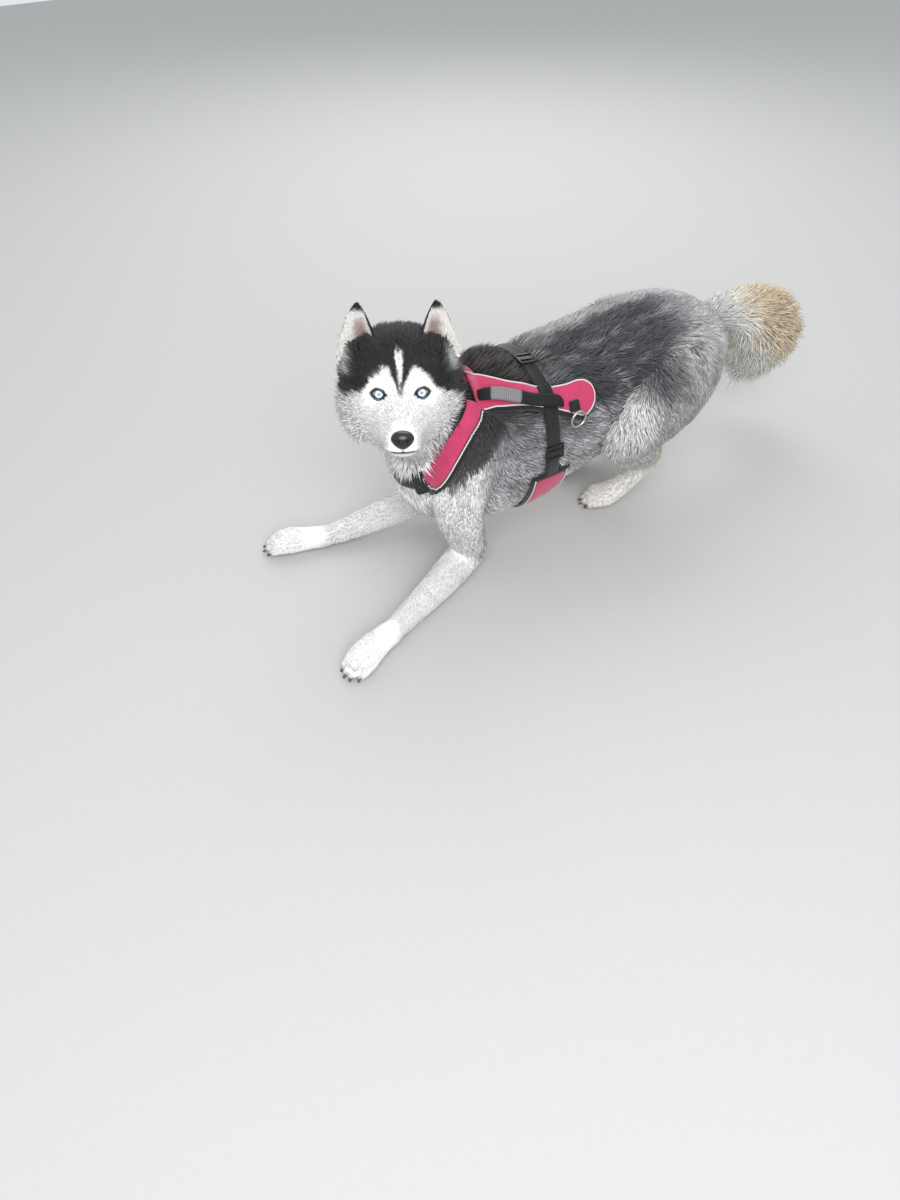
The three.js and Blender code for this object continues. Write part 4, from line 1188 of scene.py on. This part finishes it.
def oblong(place, width, height, base):
    """A rounded oblong laid on the coat at a place, facing and upward direction:
    superellipse rings shrunk to the middle, whose height is 3.6 times (1 - t^9)^0.5."""
    middle, facing, upwards = (np.array(value, float) for value in place)
    facing = unit(facing)
    across = unit(np.cross(upwards, facing))
    t = np.sin(np.linspace(1, 0.03, 14) * np.pi / 2)[:, None]
    turn = 2 * np.pi * np.arange(64)[None] / 64
    reach = (np.abs(np.cos(turn)) ** 7 + np.abs(np.sin(turn)) ** 7) ** (-1 / 7)
    x, y = t * reach * np.cos(turn) * width / 2, t * reach * np.sin(turn) * height / 2
    start = middle + across * x[..., None] + np.cross(facing, across) * y[..., None] + facing * 45
    laid = onto_coat(start, np.broadcast_to(-facing, start.shape), 110, 44)
    lift = base + 3.6 * np.maximum(1 - t**9, 0.02) ** 0.5
    return between(laid, facing, lift, base, np.stack([x, y], -1), axis=0)


def pressed(points):
    """How much the harness presses the coat down, from 0 to 1."""
    behind, turn = by_strap(points)
    shoulder = (behind > np.where(turn < 128, -9, -15)) & (behind < 21) & (turn > 46)
    girth = np.abs(points[:, 0] - GIRTH_X) < GIRTH_WIDTH / 2 + 3
    belly = (np.abs(points[:, 0] - GIRTH_X) < 39) & (points[:, 2] < 185)
    return (shoulder | girth | belly | in_panel(points)).astype(float)


# The add-on


def voxel_property(part, default, least):
    """A property for the cell size of one part's skin."""
    return bpy.props.FloatProperty(
        name=f"{part} voxel".capitalize(), default=default, min=least,
        description=f"Cell of the skin of the {part}, in millimetres",
    )


class HuskySizes(bpy.types.PropertyGroup):
    density: bpy.props.FloatProperty(
        name="Coat density", description="Share of the tufts that are made", default=1.0,
        min=0.05, max=1.2, subtype="FACTOR",
    )
    body_voxel: voxel_property("body", 4.9, 3.0)
    head_voxel: voxel_property("head", 1.85, 1.2)
    foot_voxel: voxel_property("foot", 2.3, 1.5)
    floor: bpy.props.FloatProperty(
        name="Floor", description="Side of the floor", default=9.0, unit="LENGTH"
    )


def colour_property(name, description, default):
    """A property for a colour as seen on a screen."""
    return bpy.props.FloatVectorProperty(
        name=name, description=description, default=default, size=3, subtype="COLOR_GAMMA"
    )


class HuskyColours(bpy.types.PropertyGroup):
    pad: colour_property("Pad", "Cover of the padded pieces", (0.76, 0.22, 0.38))
    webbing: colour_property("Webbing", "Straps and binding", (0.085, 0.09, 0.10))
    piping: colour_property("Piping", "Pale edge of the pads", (0.84, 0.83, 0.82))
    # The handle's grey band stands for its grey sheen: partly reflective tape, partly a painted
    # highlight.
    band: colour_property("Band", "Grey band on the handle", (0.50, 0.50, 0.50))
    plastic: colour_property("Plastic", "Buckle and sliders", (0.07, 0.075, 0.08))
    nose: colour_property("Nose", "Nose, lips and lids", (0.05, 0.045, 0.048))
    claw: colour_property("Claw", "Claws", (0.34, 0.29, 0.26))


SKIN = {}


def toes_of(paw, spread, radius):
    """Four toes and their claws side by side at a paw's end."""
    tip = paw.places[-1]
    along, side, _ = (axis[0] for axis in paw.axes(np.array([0.9])))
    level, across = unit(along * (1, 1, 0)), unit(side * (1, 1, 0))
    toes, claws = [], []
    for place in (-1.5, -0.5, 0.5, 1.5):
        forward = TOE_REACH - abs(place) * 7
        root = tip + across * place * spread
        for made, line, scale in ((toes, TOE, radius), (claws, CLAW, 1)):
            made.append(Limb([
                (*(root + level * (forward + step))[:2], height, scale * r, scale * r)
                for step, height, r in line
            ]))
    return toes, claws


def ear_line(side):
    """The middle of an ear's foot and its tip in the head's frame."""
    return (np.array(place) * (1, side, 1) for place in (EAR_BASE, EAR_TIP))


def ear_shape(side):
    """A leaf whose sides curl forward: half width 34.5 (1 - v)^0.72 (1 + 0.3 v) and a cup
    that is deepest in the middle, by sine squared of the angle round it."""
    v, u = round_grid(0.01, 0.985, 34, 40)
    base, tip = ear_line(side)
    back = np.array([-np.cos(0.35), -side * np.sin(0.35), 0])
    across = np.array([-np.sin(0.35), side * np.cos(0.35), 0])
    sine = np.sin(2 * np.pi * u)
    half = 34.5 * (1 - v) ** 0.72 * (1 + 0.3 * v)
    cup = 26 * (1 - v) ** 0.8 + 2
    wall = 5 * (1 - v) + 2.6
    depth = cup * sine**2 - 0.5 * cup + wall * np.minimum(sine, 0)
    place = base + (tip - base) * v[..., None]
    place = place + across * (np.cos(2 * np.pi * u) * half)[..., None] + back * depth[..., None]
    return place, u, v


def read_ear(side, u, v):
    """Black behind and on the rim, cream in the cup with bare pink skin low in its middle, painted
    darker there as the shade in the hollow of the cup.
    """
    count = len(u)
    inner = np.sin(2 * np.pi * u) < 0
    middle = np.abs(np.cos(2 * np.pi * u))
    rim = ease(0.955, 0.99, middle) * ease(0.45, 0.6, v) + ease(0.80, 0.90, v)
    cup = blend(paint(WHITE * 0.93, count), CREAM, 0.25 * middle)
    # Bare pink skin low in the cup, painted darker as the shade in its hollow.
    bare = (1 - ease(0.15, 0.62, middle)) * (1 - ease(0.5, 0.85, v))
    cup = blend(cup, BLUSH * 0.8, 0.85 * bare)
    sideways = -np.cos(2 * np.pi * u)
    rim = np.maximum(rim, ease(0.66, 0.84, sideways) * ease(0.06, 0.16, v))
    colour = np.where(inner[:, None], blend(cup, SLATE, rim), SLATE * 1.05)
    base, tip = ear_line(side)
    outward = np.array([-0.34, side * 0.94, 0])
    flow = unit(tip - base) + 0.12 * np.sign(-sideways)[:, None] * outward
    edge = inner & (middle > 0.45)
    length = np.where(inner, 8.0 + 3.0 * edge, 5.0) * (1 - 0.5 * v)
    length *= 1 - 0.5 * ease(0.6, 0.9, middle) * ease(0.12, 0.35, v)
    depth = np.where(inner, 1.2, 0.8)
    looks = np.stack([depth, length, np.full(count, 1.1), np.full(count, 0.55)], -1)
    name = "ear_left" if side > 0 else "ear_right"
    return {
        "lie": flow @ HEAD_AXES,
        "looks": looks,
        "colour": colour,
        "place": atlas_place(name, u, v),
    }


def shape_face(q, normals):
    """Lips and the opening between the lids. The mouth is a groove of depth 3 exp(-(d/1.9)^2)
    at distance d from its line, with a roll above it, and lids open on the eyeball."""
    ahead, out, up = q.T
    d = above_mouth(ahead, up)
    on = ease(6, 18, ahead)
    groove = -3.0 * np.exp(-((d / 1.9) ** 2)) + 1.3 * np.exp(-(((d - 4) / 2.6) ** 2))
    split = -1.4 * np.exp(-((out / 1.2) ** 2)) * ease(84, 90, ahead) * (d > 0)
    stop = -2.2 * np.exp(-((out / 5) ** 2 + ((ahead - 6) / 16) ** 2)) * (up > 0)
    q = q + normals * (groove * on + split + stop)[:, None]
    dark = 1.2 * np.exp(-((d / 2.1) ** 2)) * on
    dark = dark + 0.7 * np.exp(-((out / 0.9) ** 2)) * (ahead > 86) * (d > 0)
    rim = np.zeros(len(q))
    for side in (-1, 1):
        rel = q - eye_at(side)
        sunk = q + rel * (8.6 / np.linalg.norm(rel, axis=1) - 1)[:, None]
        q = np.where(between_lids(q, side)[:, None], sunk, q)
        rim = np.maximum(rim, between_lids(q, side, 1.34))
    return q, np.clip(np.maximum(dark, rim), 0, 1)


def bare_places(points):
    """Where the face has no tufts: on the lips' line, the nose and the lids."""
    q = to_head(points)
    ahead, out, up = q.T
    d = above_mouth(ahead, up)
    reach = np.interp(ahead, [12, 55, 80, 90], [1.2, 3.0, 6.5, 12])
    bare = (d > -np.interp(ahead, [12, 80], [1.2, 2.6])) & (d < reach) & (ahead > 12)
    bare |= ((ahead - 88) / 13) ** 2 + (out / 17) ** 2 + ((up + 32) / 14.6) ** 2 < 1
    for side in (-1, 1):
        bare |= between_lids(q, side, 1.22)
    return bare


class MakeSkin(bpy.types.Operator):
    """Runs the limbs, feet and head together as one skin, inside the coat by its depth"""

    bl_idname = "husky.skin"
    bl_label = "Skin"

    def execute(self, context):
        cells = context.scene.husky_sizes
        body, feet, claws = [], [], []
        for name, limb in LIMBS.items():
            kind = kind_of(name)
            inset = 1.0 if kind == "tail" else COATS[kind][0] * 0.94
            if kind in TOES:
                toes, nails = toes_of(limb, *TOES[kind])
                feet.append(limb.surface(30, 24, inset))
                feet.extend(toe.surface(16, 12, 1.0) for toe in toes)
                claws.extend(nail.surface(10, 9) for nail in nails)
            else:
                body.append(limb.surface(56, 60, inset))
        head = [self.skull()]
        for side in (-1, 1):
            head.extend(ball(np.array(at) * (1, side, 1), sizes) for at, sizes in HEAD_LUMPS)
        body = remeshed(body, cells.body_voxel, 9)
        feet = remeshed(feet, cells.foot_voxel, 2)
        q, faces = remeshed(head, cells.head_voxel, 4)
        q, dark = shape_face(q, vertex_normals(q, faces))
        head = from_head(q), faces
        for points, _ in (body, feet, head):
            points[:, 2] = np.maximum(points[:, 2], 0.3)
        SKIN.update(body=body, feet=feet, head=head, claws=gather(claws))
        parts = [body, feet, head]
        reads = [read_limbs(part[0], vertex_normals(*part)) for part in (body, feet)]
        reads.append(read_head(head[0]))
        black = np.array(context.scene.husky_colours.nose)
        reads[-1]["colour"] = blend(reads[-1]["colour"], black, dark)
        for side in (-1, 1):
            grid, u, v = ear_shape(side)
            shape = tube(from_head(grid))
            u, v = (np.append(value.ravel(), value.ravel()[[0, -1]]) for value in (u, v))
            SKIN[f"ear_{side}"] = shape, u, v
            parts.append(shape)
            reads.append(read_ear(side, u, v))
        flesh = [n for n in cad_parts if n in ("torso", "tail", "neck", "head")]
        flesh += [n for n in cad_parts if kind_of(n) in (*LEG_SIZES, "ear")]
        finish = coat_finish("skin_coat", 420, 0.62)
        made = piece("coat_skin", gather(parts), finish, flesh)
        # Painted shade: the skin under the tufts is a little darker than their colour.
        set_colour(made, np.vstack([read["colour"] for read in reads]) * 0.97)
        set_uv(made, "OFBake", np.vstack([read["place"] for read in reads]))
        return {"FINISHED"}

    def skull(self):
        """The head's form, drawn in further behind where its coat is long."""
        v, u = round_grid(0, 1, 66, 60)
        ahead = smooth_curve(SKULL.places, v)[..., 0]
        return tube(SKULL.point(u, v, 1.6 + 6 * ease(10, -50, ahead)))


class MakeCoat(bpy.types.Operator):
    """Lays tufts over the skin, in pieces that each follow the lie of their part of the coat"""

    bl_idname = "husky.coat"
    bl_label = "Coat"

    def execute(self, context):
        if not SKIN:
            raise RuntimeError("make the skin before the coat")
        share = context.scene.husky_sizes.density
        data = []
        for k, part in enumerate(("body", "feet")):
            points, faces = SKIN[part]
            read = read_limbs(*middles(points, faces))
            data.append(scatter(points, faces, read, share, 70 + k))
        body = joined(data)
        press = pressed(body["root"])
        body["looks"][:, 0] *= 1 - 0.75 * press
        body["looks"][:, 1] *= 1 - 0.35 * press
        names = list(LIMBS)
        kinds = np.array([kind_of(n) for n in names])[body["kind"]]
        left = np.array([n.endswith("left") for n in names])[body["kind"]]
        x = body["root"][:, 0]
        torso, arm = kinds == "torso", np.isin(kinds, ("upper_arm", "forearm"))
        haunch = np.isin(kinds, ("thigh", "shank"))
        groups = {
            "coat_withers": (torso & (x < 110), "coat_body"),
            "coat_back": (torso & (x >= 110) & (x < 300), "coat_body"),
            "coat_rump": (torso & (x >= 300), "coat_body"),
            "coat_neck": (kinds == "neck", "coat_dark"),
            "coat_tail": (kinds == "tail", "coat_cream"),
            "coat_haunch_left": (haunch & left, "coat_grey"),
            "coat_haunch_right": (haunch & ~left, "coat_grey"),
            "coat_arm_left": (arm & left, "coat_white"),
            "coat_arm_right": (arm & ~left, "coat_white"),
            "coat_feet": (np.isin(kinds, ("forepaw", "hind_foot")), "coat_white"),
        }
        finish = coat_finish("tuft_coat", 300, 0.66)
        for k, (name, (mask, slot)) in enumerate(groups.items()):
            self.lay(name, only(body, mask), 100 + 10 * k, slot, finish)
        points, faces = SKIN["head"]
        head = scatter(points, faces, read_head(middles(points, faces)[0]), share, 80)
        head = only(head, ~bare_places(head["root"]))
        self.near_eyes(head)
        ahead = to_head(head["root"])[:, 0]
        self.lay("coat_face", only(head, ahead > -38), 300, "coat_white", finish, 4.0)
        self.lay("coat_crown", only(head, ahead <= -38), 310, "coat_white", finish, 6.0)
        ears = joined([self.ear(side, share) for side in (-1, 1)])
        self.lay("coat_ears", ears, 320, "coat_dark", finish, 4.0)
        return {"FINISHED"}

    def near_eyes(self, head):
        """Shorter tufts round the eyes."""
        q = to_head(head["root"])
        for side in (-1, 1):
            away = np.linalg.norm(q - eye_at(side), axis=1)
            head["looks"][:, :2] *= (0.32 + 0.68 * ease(12, 27, away))[:, None]

    def ear(self, side, share):
        """An ear's roots, away from the seam where u starts again."""
        (points, faces), u, v = SKIN[f"ear_{side}"]
        faces = faces[np.abs(u[faces] - u[faces[:, :1]]).max(1) < 0.5]
        read = read_ear(side, u[faces].mean(1), v[faces].mean(1))
        return scatter(points, faces, read, share, 84 + side)

    def lay(self, name, data, seed, slot, finish, clump=9.0):
        """One piece of coat, with more rings in each tuft where it is long."""
        rings = 3 if np.median(data["looks"][:, 1]) > 45 else 2
        shape, colour, bake = tufts(data, seed, clump, rings)
        if len(shape[1]) >= MOST_TRIANGLES:
            raise RuntimeError(f"{name} has {len(shape[1])} triangles")
        made = piece(name, shape, finish)
        set_colour(made, colour)
        set_uv(made, "OFBake", bake)


class MakeFace(bpy.types.Operator):
    """Makes the eyes with their black lids, the nose and the claws"""

    bl_idname = "husky.face"
    bl_label = "Eyes, nose and claws"

    def execute(self, context):
        colours = context.scene.husky_colours
        eye = eye_finish()
        wet = rough_finish("wet_rim", colours.nose, 0.22, 900, 0.0001, Coat_Weight=0.6)
        for side, name in ((1, "eye_left"), (-1, "eye_right")):
            shape, uv = self.eyeball(side)
            set_uv(piece(f"{name}_ball", shape, eye, (name,)), "gaze", uv)
            piece(f"lid_{name[4:]}", self.lid(side), wet)
        leather = rough_finish(
            "nose_leather_wet", colours.nose, 0.3, 1100, 0.0003, Coat_Weight=0.35
        )
        piece("nose_pad", self.nose(), leather, ("nose",))
        horn = rough_finish("claw_horn", colours.claw, 0.4, 300, 0.0002)
        piece("claws", SKIN["claws"], horn)
        return {"FINISHED"}

    def eyeball(self, side):
        """A sphere whose pole is the gaze, with the turn round it and from it as its map."""
        centre = eye_at(side)
        gaze = unit(to_head(CAMERA_AT) - centre)
        across = unit(np.cross((0, 0, 1), gaze))
        up = np.cross(gaze, across)
        v, u = round_grid(0.004, 0.996, 40, 48)
        v = v**1.3
        polar, turn = (np.pi * v)[..., None], (2 * np.pi * u)[..., None]
        out = gaze * np.cos(polar) + np.sin(polar) * (across * np.cos(turn) + up * np.sin(turn))
        bulge = 1 + 0.045 * np.exp(-((v / 0.17) ** 2))
        uv = np.vstack([np.stack([u.ravel(), v.ravel()], -1), [[0, 0], [0, 1]]])
        return tube(from_head(centre + out * (EYE_RADIUS * bulge)[..., None])), uv

    def lid(self, side):
        """A tapered tube along the lens of the lids, whose half height is 6.8 (1 - t^2)."""
        turn = 2 * np.pi * np.arange(60) / 60
        t = np.cos(turn)
        h = LID["height"] * (1 - t**2) * np.sign(np.sin(turn)) + t * LID["half"] * LID["tilt"]
        facing, across, up = lid_axes(side)
        forward = np.sqrt(np.maximum(11.7**2 - (t * LID["half"]) ** 2 - h**2, 9.0))
        path = eye_at(side) + facing * forward[:, None]
        path = path + across * (t * LID["half"])[:, None] + up * h[:, None]
        radii = 0.8 + 0.95 * np.abs(np.sin(turn)) ** 0.5
        return wire(from_head(path), radii, closed=True)

    def nose(self):
        """An ellipsoid with a dent at each nostril, a slit out of each and a groove between."""
        v, u = round_grid(0.02, 0.98, 56, 72)
        polar, turn = np.pi * v, 2 * np.pi * u
        ahead, out, up = np.cos(polar), np.sin(polar) * np.cos(turn), np.sin(polar) * np.sin(turn)
        flatten = 1 - 0.12 * ease(0.3, 1, up)
        size = np.array([NOSE["length"], NOSE["half"], NOSE["height"]])
        narrow = 1 - 0.24 * ease(0.1, -1, up)
        place = np.stack([ahead, out * narrow, up * flatten], -1) * size
        y, z = np.abs(place[..., 1]), place[..., 2]
        dent = 5.0 * np.exp(-(((y - 6.8) / 2.9) ** 2) - ((z + 0.4) / 2.6) ** 2)
        slit = 2.2 * np.exp(-(((z + 3.4 + 0.2 * (y - 11)) / 1.1) ** 2))
        slit = slit * ease(8, 10, y) * ease(17, 14, y)
        groove = 1.2 * np.exp(-((y / 1.0) ** 2)) * ease(4, -1, z)
        place[..., 0] -= (dent + slit + groove) * ease(0.1, 0.5, ahead)
        return tube(from_head(place + np.array(NOSE["middle"])))


class MakePads(bpy.types.Operator):
    """Makes the pad on the back, the shoulder straps and the belly pad, crowned and piped"""

    bl_idname = "husky.pads"
    bl_label = "Harness pads"

    def execute(self, context):
        colours = context.scene.husky_colours
        pink = woven_finish("pad_cloth", colours.pad, 0.0022)
        black = woven_finish("binding_cloth", colours.webbing, 0.0014)
        pale = rough_finish("piping_cloth", colours.piping, 0.6, 500, 0.0002)
        self.panel(pink, black, pale)
        for name, turns in SHOULDER_TURNS.items():
            self.shoulder(name, turns, pink, black, pale)
        self.belly(pink, black, pale)
        return {"FINISHED"}

    def panel(self, pink, black, pale):
        """The binding of the pad on the back, its cover and the piping between them."""
        cloth("back_panel_binding", panel_pad(0, 0, PAD, GAP, 16), black)
        cover = panel_pad(2.5, 6.5, PANEL_COVER, GAP + 3.1)
        made = cloth("back_panel_pad", cover, pink, ("back_panel",))
        places, flat, _ = panel_places([-1, 1], 2.8, 6.8, 170)
        lower = places[::-1, 0][flat[::-1, 0, 0] > -96]
        line = np.concatenate([places[:, 1], lower]) + PANEL_AXES[2] * 5.1
        piece("back_panel_piping", wire(line, PIPING), pale)

    def shoulder(self, name, turns, pink, black, pale):
        """A shoulder strap's cover, and its piping and binding below the mane."""
        band, _ = strap(
            NECK_RING, turns, SHOULDER_WIDTH, PAD, crown=4.0, offset=SHOULDER_OFFSET
        )
        made = cloth(
            f"shoulder_pad_{name}", band, pink, (f"shoulder_strap_{name}",)
        )
        below = (np.copysign(52, turns[1]), turns[1])
        edge = edge_wire(NECK_RING, below, 10.6, 4.2)
        piece(f"shoulder_piping_{name}", edge, pale)
        edge, _ = strap(NECK_RING, below, BINDING, 4.4, offset=15.0, crown=4.0)
        cloth(f"shoulder_binding_{name}", edge, black)

    def belly(self, pink, black, pale):
        """The binding of the belly pad, its narrower cover and the piping on both edges."""
        start, end = BELLY_TURNS
        edge, _ = strap(GIRTH_RING, (start - 3, end + 3), BELLY_BINDING, 3.4, crown=8.0)
        cloth("belly_pad_binding", edge, black)
        pad, _ = strap(GIRTH_RING, BELLY_TURNS, BELLY_WIDTH, PAD, crown=5.0)
        made = cloth("belly_pad_cover", pad, pink, ("belly_pad",))
        for k, side in enumerate((-1, 1)):
            edge = edge_wire(GIRTH_RING, BELLY_TURNS, side * (BELLY_WIDTH / 2 - 1), 3.8)
            piece(f"belly_pad_edge_{k}", edge, pale)


class MakeStraps(bpy.types.Operator):
    """Makes the plain webbing straps and the handle"""

    bl_idname = "husky.straps"
    bl_label = "Harness straps"

    def execute(self, context):
        colours = context.scene.husky_colours
        webbing = woven_finish("webbing_cloth", colours.webbing, 0.0016)
        straps = {
            "girth_strap_left": (GIRTH_RING, GIRTH_TURNS["left"], GIRTH_WIDTH, WEBBING, GAP),
            "girth_strap_right": (GIRTH_RING, GIRTH_TURNS["right"], GIRTH_WIDTH, WEBBING, GAP),
            "chest_strap": (NECK_RING, CHEST_TURNS, CHEST_WIDTH, WEBBING, GAP + 2),
            "cross_strap": (GIRTH_RING, CROSS_TURNS, GIRTH_WIDTH, CROSS_WEBBING, PAD + 0.6),
        }
        for name, (ring, turns, width, thick, base) in straps.items():
            band, run = strap(ring, turns, width, thick, 10.0, base)
            made = cloth(f"{name}_web", band, webbing, (name,))
            run / 1000
        grip = self.grip(colours)
        cloth("handle_grip", self.handle(), grip, ("handle",))
        tab = oblong(((144, -102, 286), (0, -1, 0.45), (0, 0.45, 1)), 18, 18, PAD + 1.4)
        cloth("ring_tab_web", tab, webbing, ("ring_tab",))
        return {"FINISHED"}

    def handle(self):
        """The handle as a flat tube, and its map in metres along and round."""
        grip = Limb(HANDLE_LINE, upwards=(0, -0.643, 0.766))
        v, u = round_grid(0, 1, 70, 28)
        uv = np.stack([v.ravel() * HANDLE_RUN, u.ravel() * 0.04], -1)
        return tube(grip.point(u, v)), np.vstack([uv, [[0, 0], [HANDLE_RUN, 0]]])

    def grip(self, colours):
        """Black ribbed webbing, its grooves painted darker as shade, with a grey band round the
        front half that stands for the handle's grey sheen: partly reflective tape, partly a
        painted highlight.
        """
        made = Finish("grip_cloth", Specular_IOR_Level=0.3)
        _, u, _ = made.map("cloth")
        ribs = (u * (2 * np.pi / 0.0018)).sine() * 0.5 + 0.5
        black, grey = (screen(c)[:3] for c in (colours.webbing, colours.band))
        # The grey band lies where the handle shows a grey sheen: partly reflective tape, partly a
        # painted highlight.
        stops = [(0.0, black), (0.20, black), (0.212, grey), (0.40, grey), (0.412, black)]
        band = made.ramp(u * (1 / HANDLE_RUN), stops)
        # Painted shade: the ribs are darker in their grooves, where the bump is low.
        made.feed("Base Color", made.mix(ribs, made.shaded(band, 0.6), band))
        made.feed("Roughness", ribs * 0.1 + 0.6)
        made.bump(ribs, 0.0003)
        return made.material


class MakeFittings(bpy.types.Operator):
    """Makes the lead's ring and gives the buckle and sliders their finish"""

    bl_idname = "husky.fittings"
    bl_label = "Harness fittings"

    def execute(self, context):
        turn = 2 * np.pi * np.arange(72) / 72
        circle = np.stack([np.cos(turn), np.zeros(72), np.sin(turn)], -1) * RING["radius"]
        steel = rough_finish(
            "ring_steel_bright", (0.78, 0.77, 0.74), 0.22, 700, 0.00005, Metallic=1.0
        )
        shape = wire(circle + np.array(RING["middle"]), RING["wire"], 14, True)
        piece("lead_ring_bright", shape, steel, ("lead_ring",))
        colour = context.scene.husky_colours.plastic
        plastic = rough_finish("moulded_plastic", colour, 0.34, 1800, 0.00012)
        spot, way = NECK_RING.lanes(np.radians([151.0]), [0.0])
        buckle, _ = oblong((spot[0, 0], way[0, 0], NECK_RING.normal), 26, 24, PAD)
        piece("chest_buckle_shell", buckle, plastic, ("chest_buckle",))
        for name in ("girth_slider_left", "girth_slider_right"):
            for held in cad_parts[name].material_slots:
                held.link = "OBJECT"
                held.material = plastic
        return {"FINISHED"}


class MakeStage(bpy.types.Operator):
    """Lays a pale floor and sets soft lights and the camera"""

    bl_idname = "husky.stage"
    bl_label = "Floor, lights and camera"

    def execute(self, context):
        scene = context.scene
        half = scene.husky_sizes.floor / 2
        mesh = bpy.data.meshes.new("floor")
        square = [(-half, -half, 0), (half, -half, 0), (half, half, 0), (-half, half, 0)]
        mesh.from_pydata(square, [], [(0, 1, 2, 3)])
        sand = Finish("pale_floor", Roughness=0.9)
        grain = sand.noise(90, 3.0)
        low, high = screen((0.71, 0.71, 0.70)), screen((0.725, 0.725, 0.715))
        sand.feed("Base Color", sand.mix(grain, low, high))
        sand.bump(grain, 0.0004, 0.3)
        mesh.materials.append(sand.material)
        floor = bpy.data.objects.new("floor", mesh)
        scene.collection.objects.link(floor)
        world = bpy.data.worlds.new("studio")
        world.use_nodes = True
        background = world.node_tree.nodes["Background"]
        background.inputs["Color"].default_value = SKY
        background.inputs["Strength"].default_value = SKY_STRENGTH
        scene.world = world
        for name, light in LIGHTS.items():
            self.light(name, **light)
        camera = bpy.data.cameras.new("camera")
        camera.sensor_fit, camera.sensor_height, camera.lens = "VERTICAL", 36, CAMERA_LENS
        camera.clip_end = 40
        eye = bpy.data.objects.new("camera", camera)
        eye.location = (CAMERA_AT + SHIFT) / 1000
        eye.rotation_euler = np.radians(CAMERA_TURN)
        scene.collection.objects.link(eye)
        scene.camera = eye
        scene.view_settings.view_transform = "Standard"
        return {"FINISHED"}

    def light(self, name, place, turn, size, power):
        """A soft round light, its place and size in metres and its power in watts."""
        lamp = bpy.data.lights.new(name, "AREA")
        lamp.shape, lamp.size, lamp.energy = "DISK", size, power
        obj = bpy.data.objects.new(name, lamp)
        obj.location, obj.rotation_euler = place, np.radians(turn)
        bpy.context.scene.collection.objects.link(obj)


OPERATORS = (MakeSkin, MakeCoat, MakeFace, MakePads, MakeStraps, MakeFittings, MakeStage)


class HuskyPanel(bpy.types.Panel):
    """Lists the husky's pieces in the order in which they are made"""

    bl_idname = "VIEW3D_PT_husky"
    bl_label = "Husky"
    bl_space_type = "VIEW_3D"
    bl_region_type = "UI"
    bl_category = "Husky"

    def draw(self, context):
        for group in (context.scene.husky_sizes, context.scene.husky_colours):
            for name in group.__annotations__:
                self.layout.prop(group, name)
        for operator in OPERATORS:
            self.layout.operator(operator.bl_idname)


CLASSES = (HuskySizes, HuskyColours, *OPERATORS, HuskyPanel)


def register():
    for cls in CLASSES:
        bpy.utils.register_class(cls)
    bpy.types.Scene.husky_sizes = bpy.props.PointerProperty(type=HuskySizes)
    bpy.types.Scene.husky_colours = bpy.props.PointerProperty(type=HuskyColours)


def unregister():
    del bpy.types.Scene.husky_colours
    del bpy.types.Scene.husky_sizes
    for cls in reversed(CLASSES):
        bpy.utils.unregister_class(cls)


def main():
    register()
    bpy.ops.husky.skin()
    bpy.ops.husky.coat()
    bpy.ops.husky.face()
    bpy.ops.husky.pads()
    bpy.ops.husky.straps()
    bpy.ops.husky.fittings()
    bpy.ops.husky.stage()


if __name__ == "__main__":
    main()
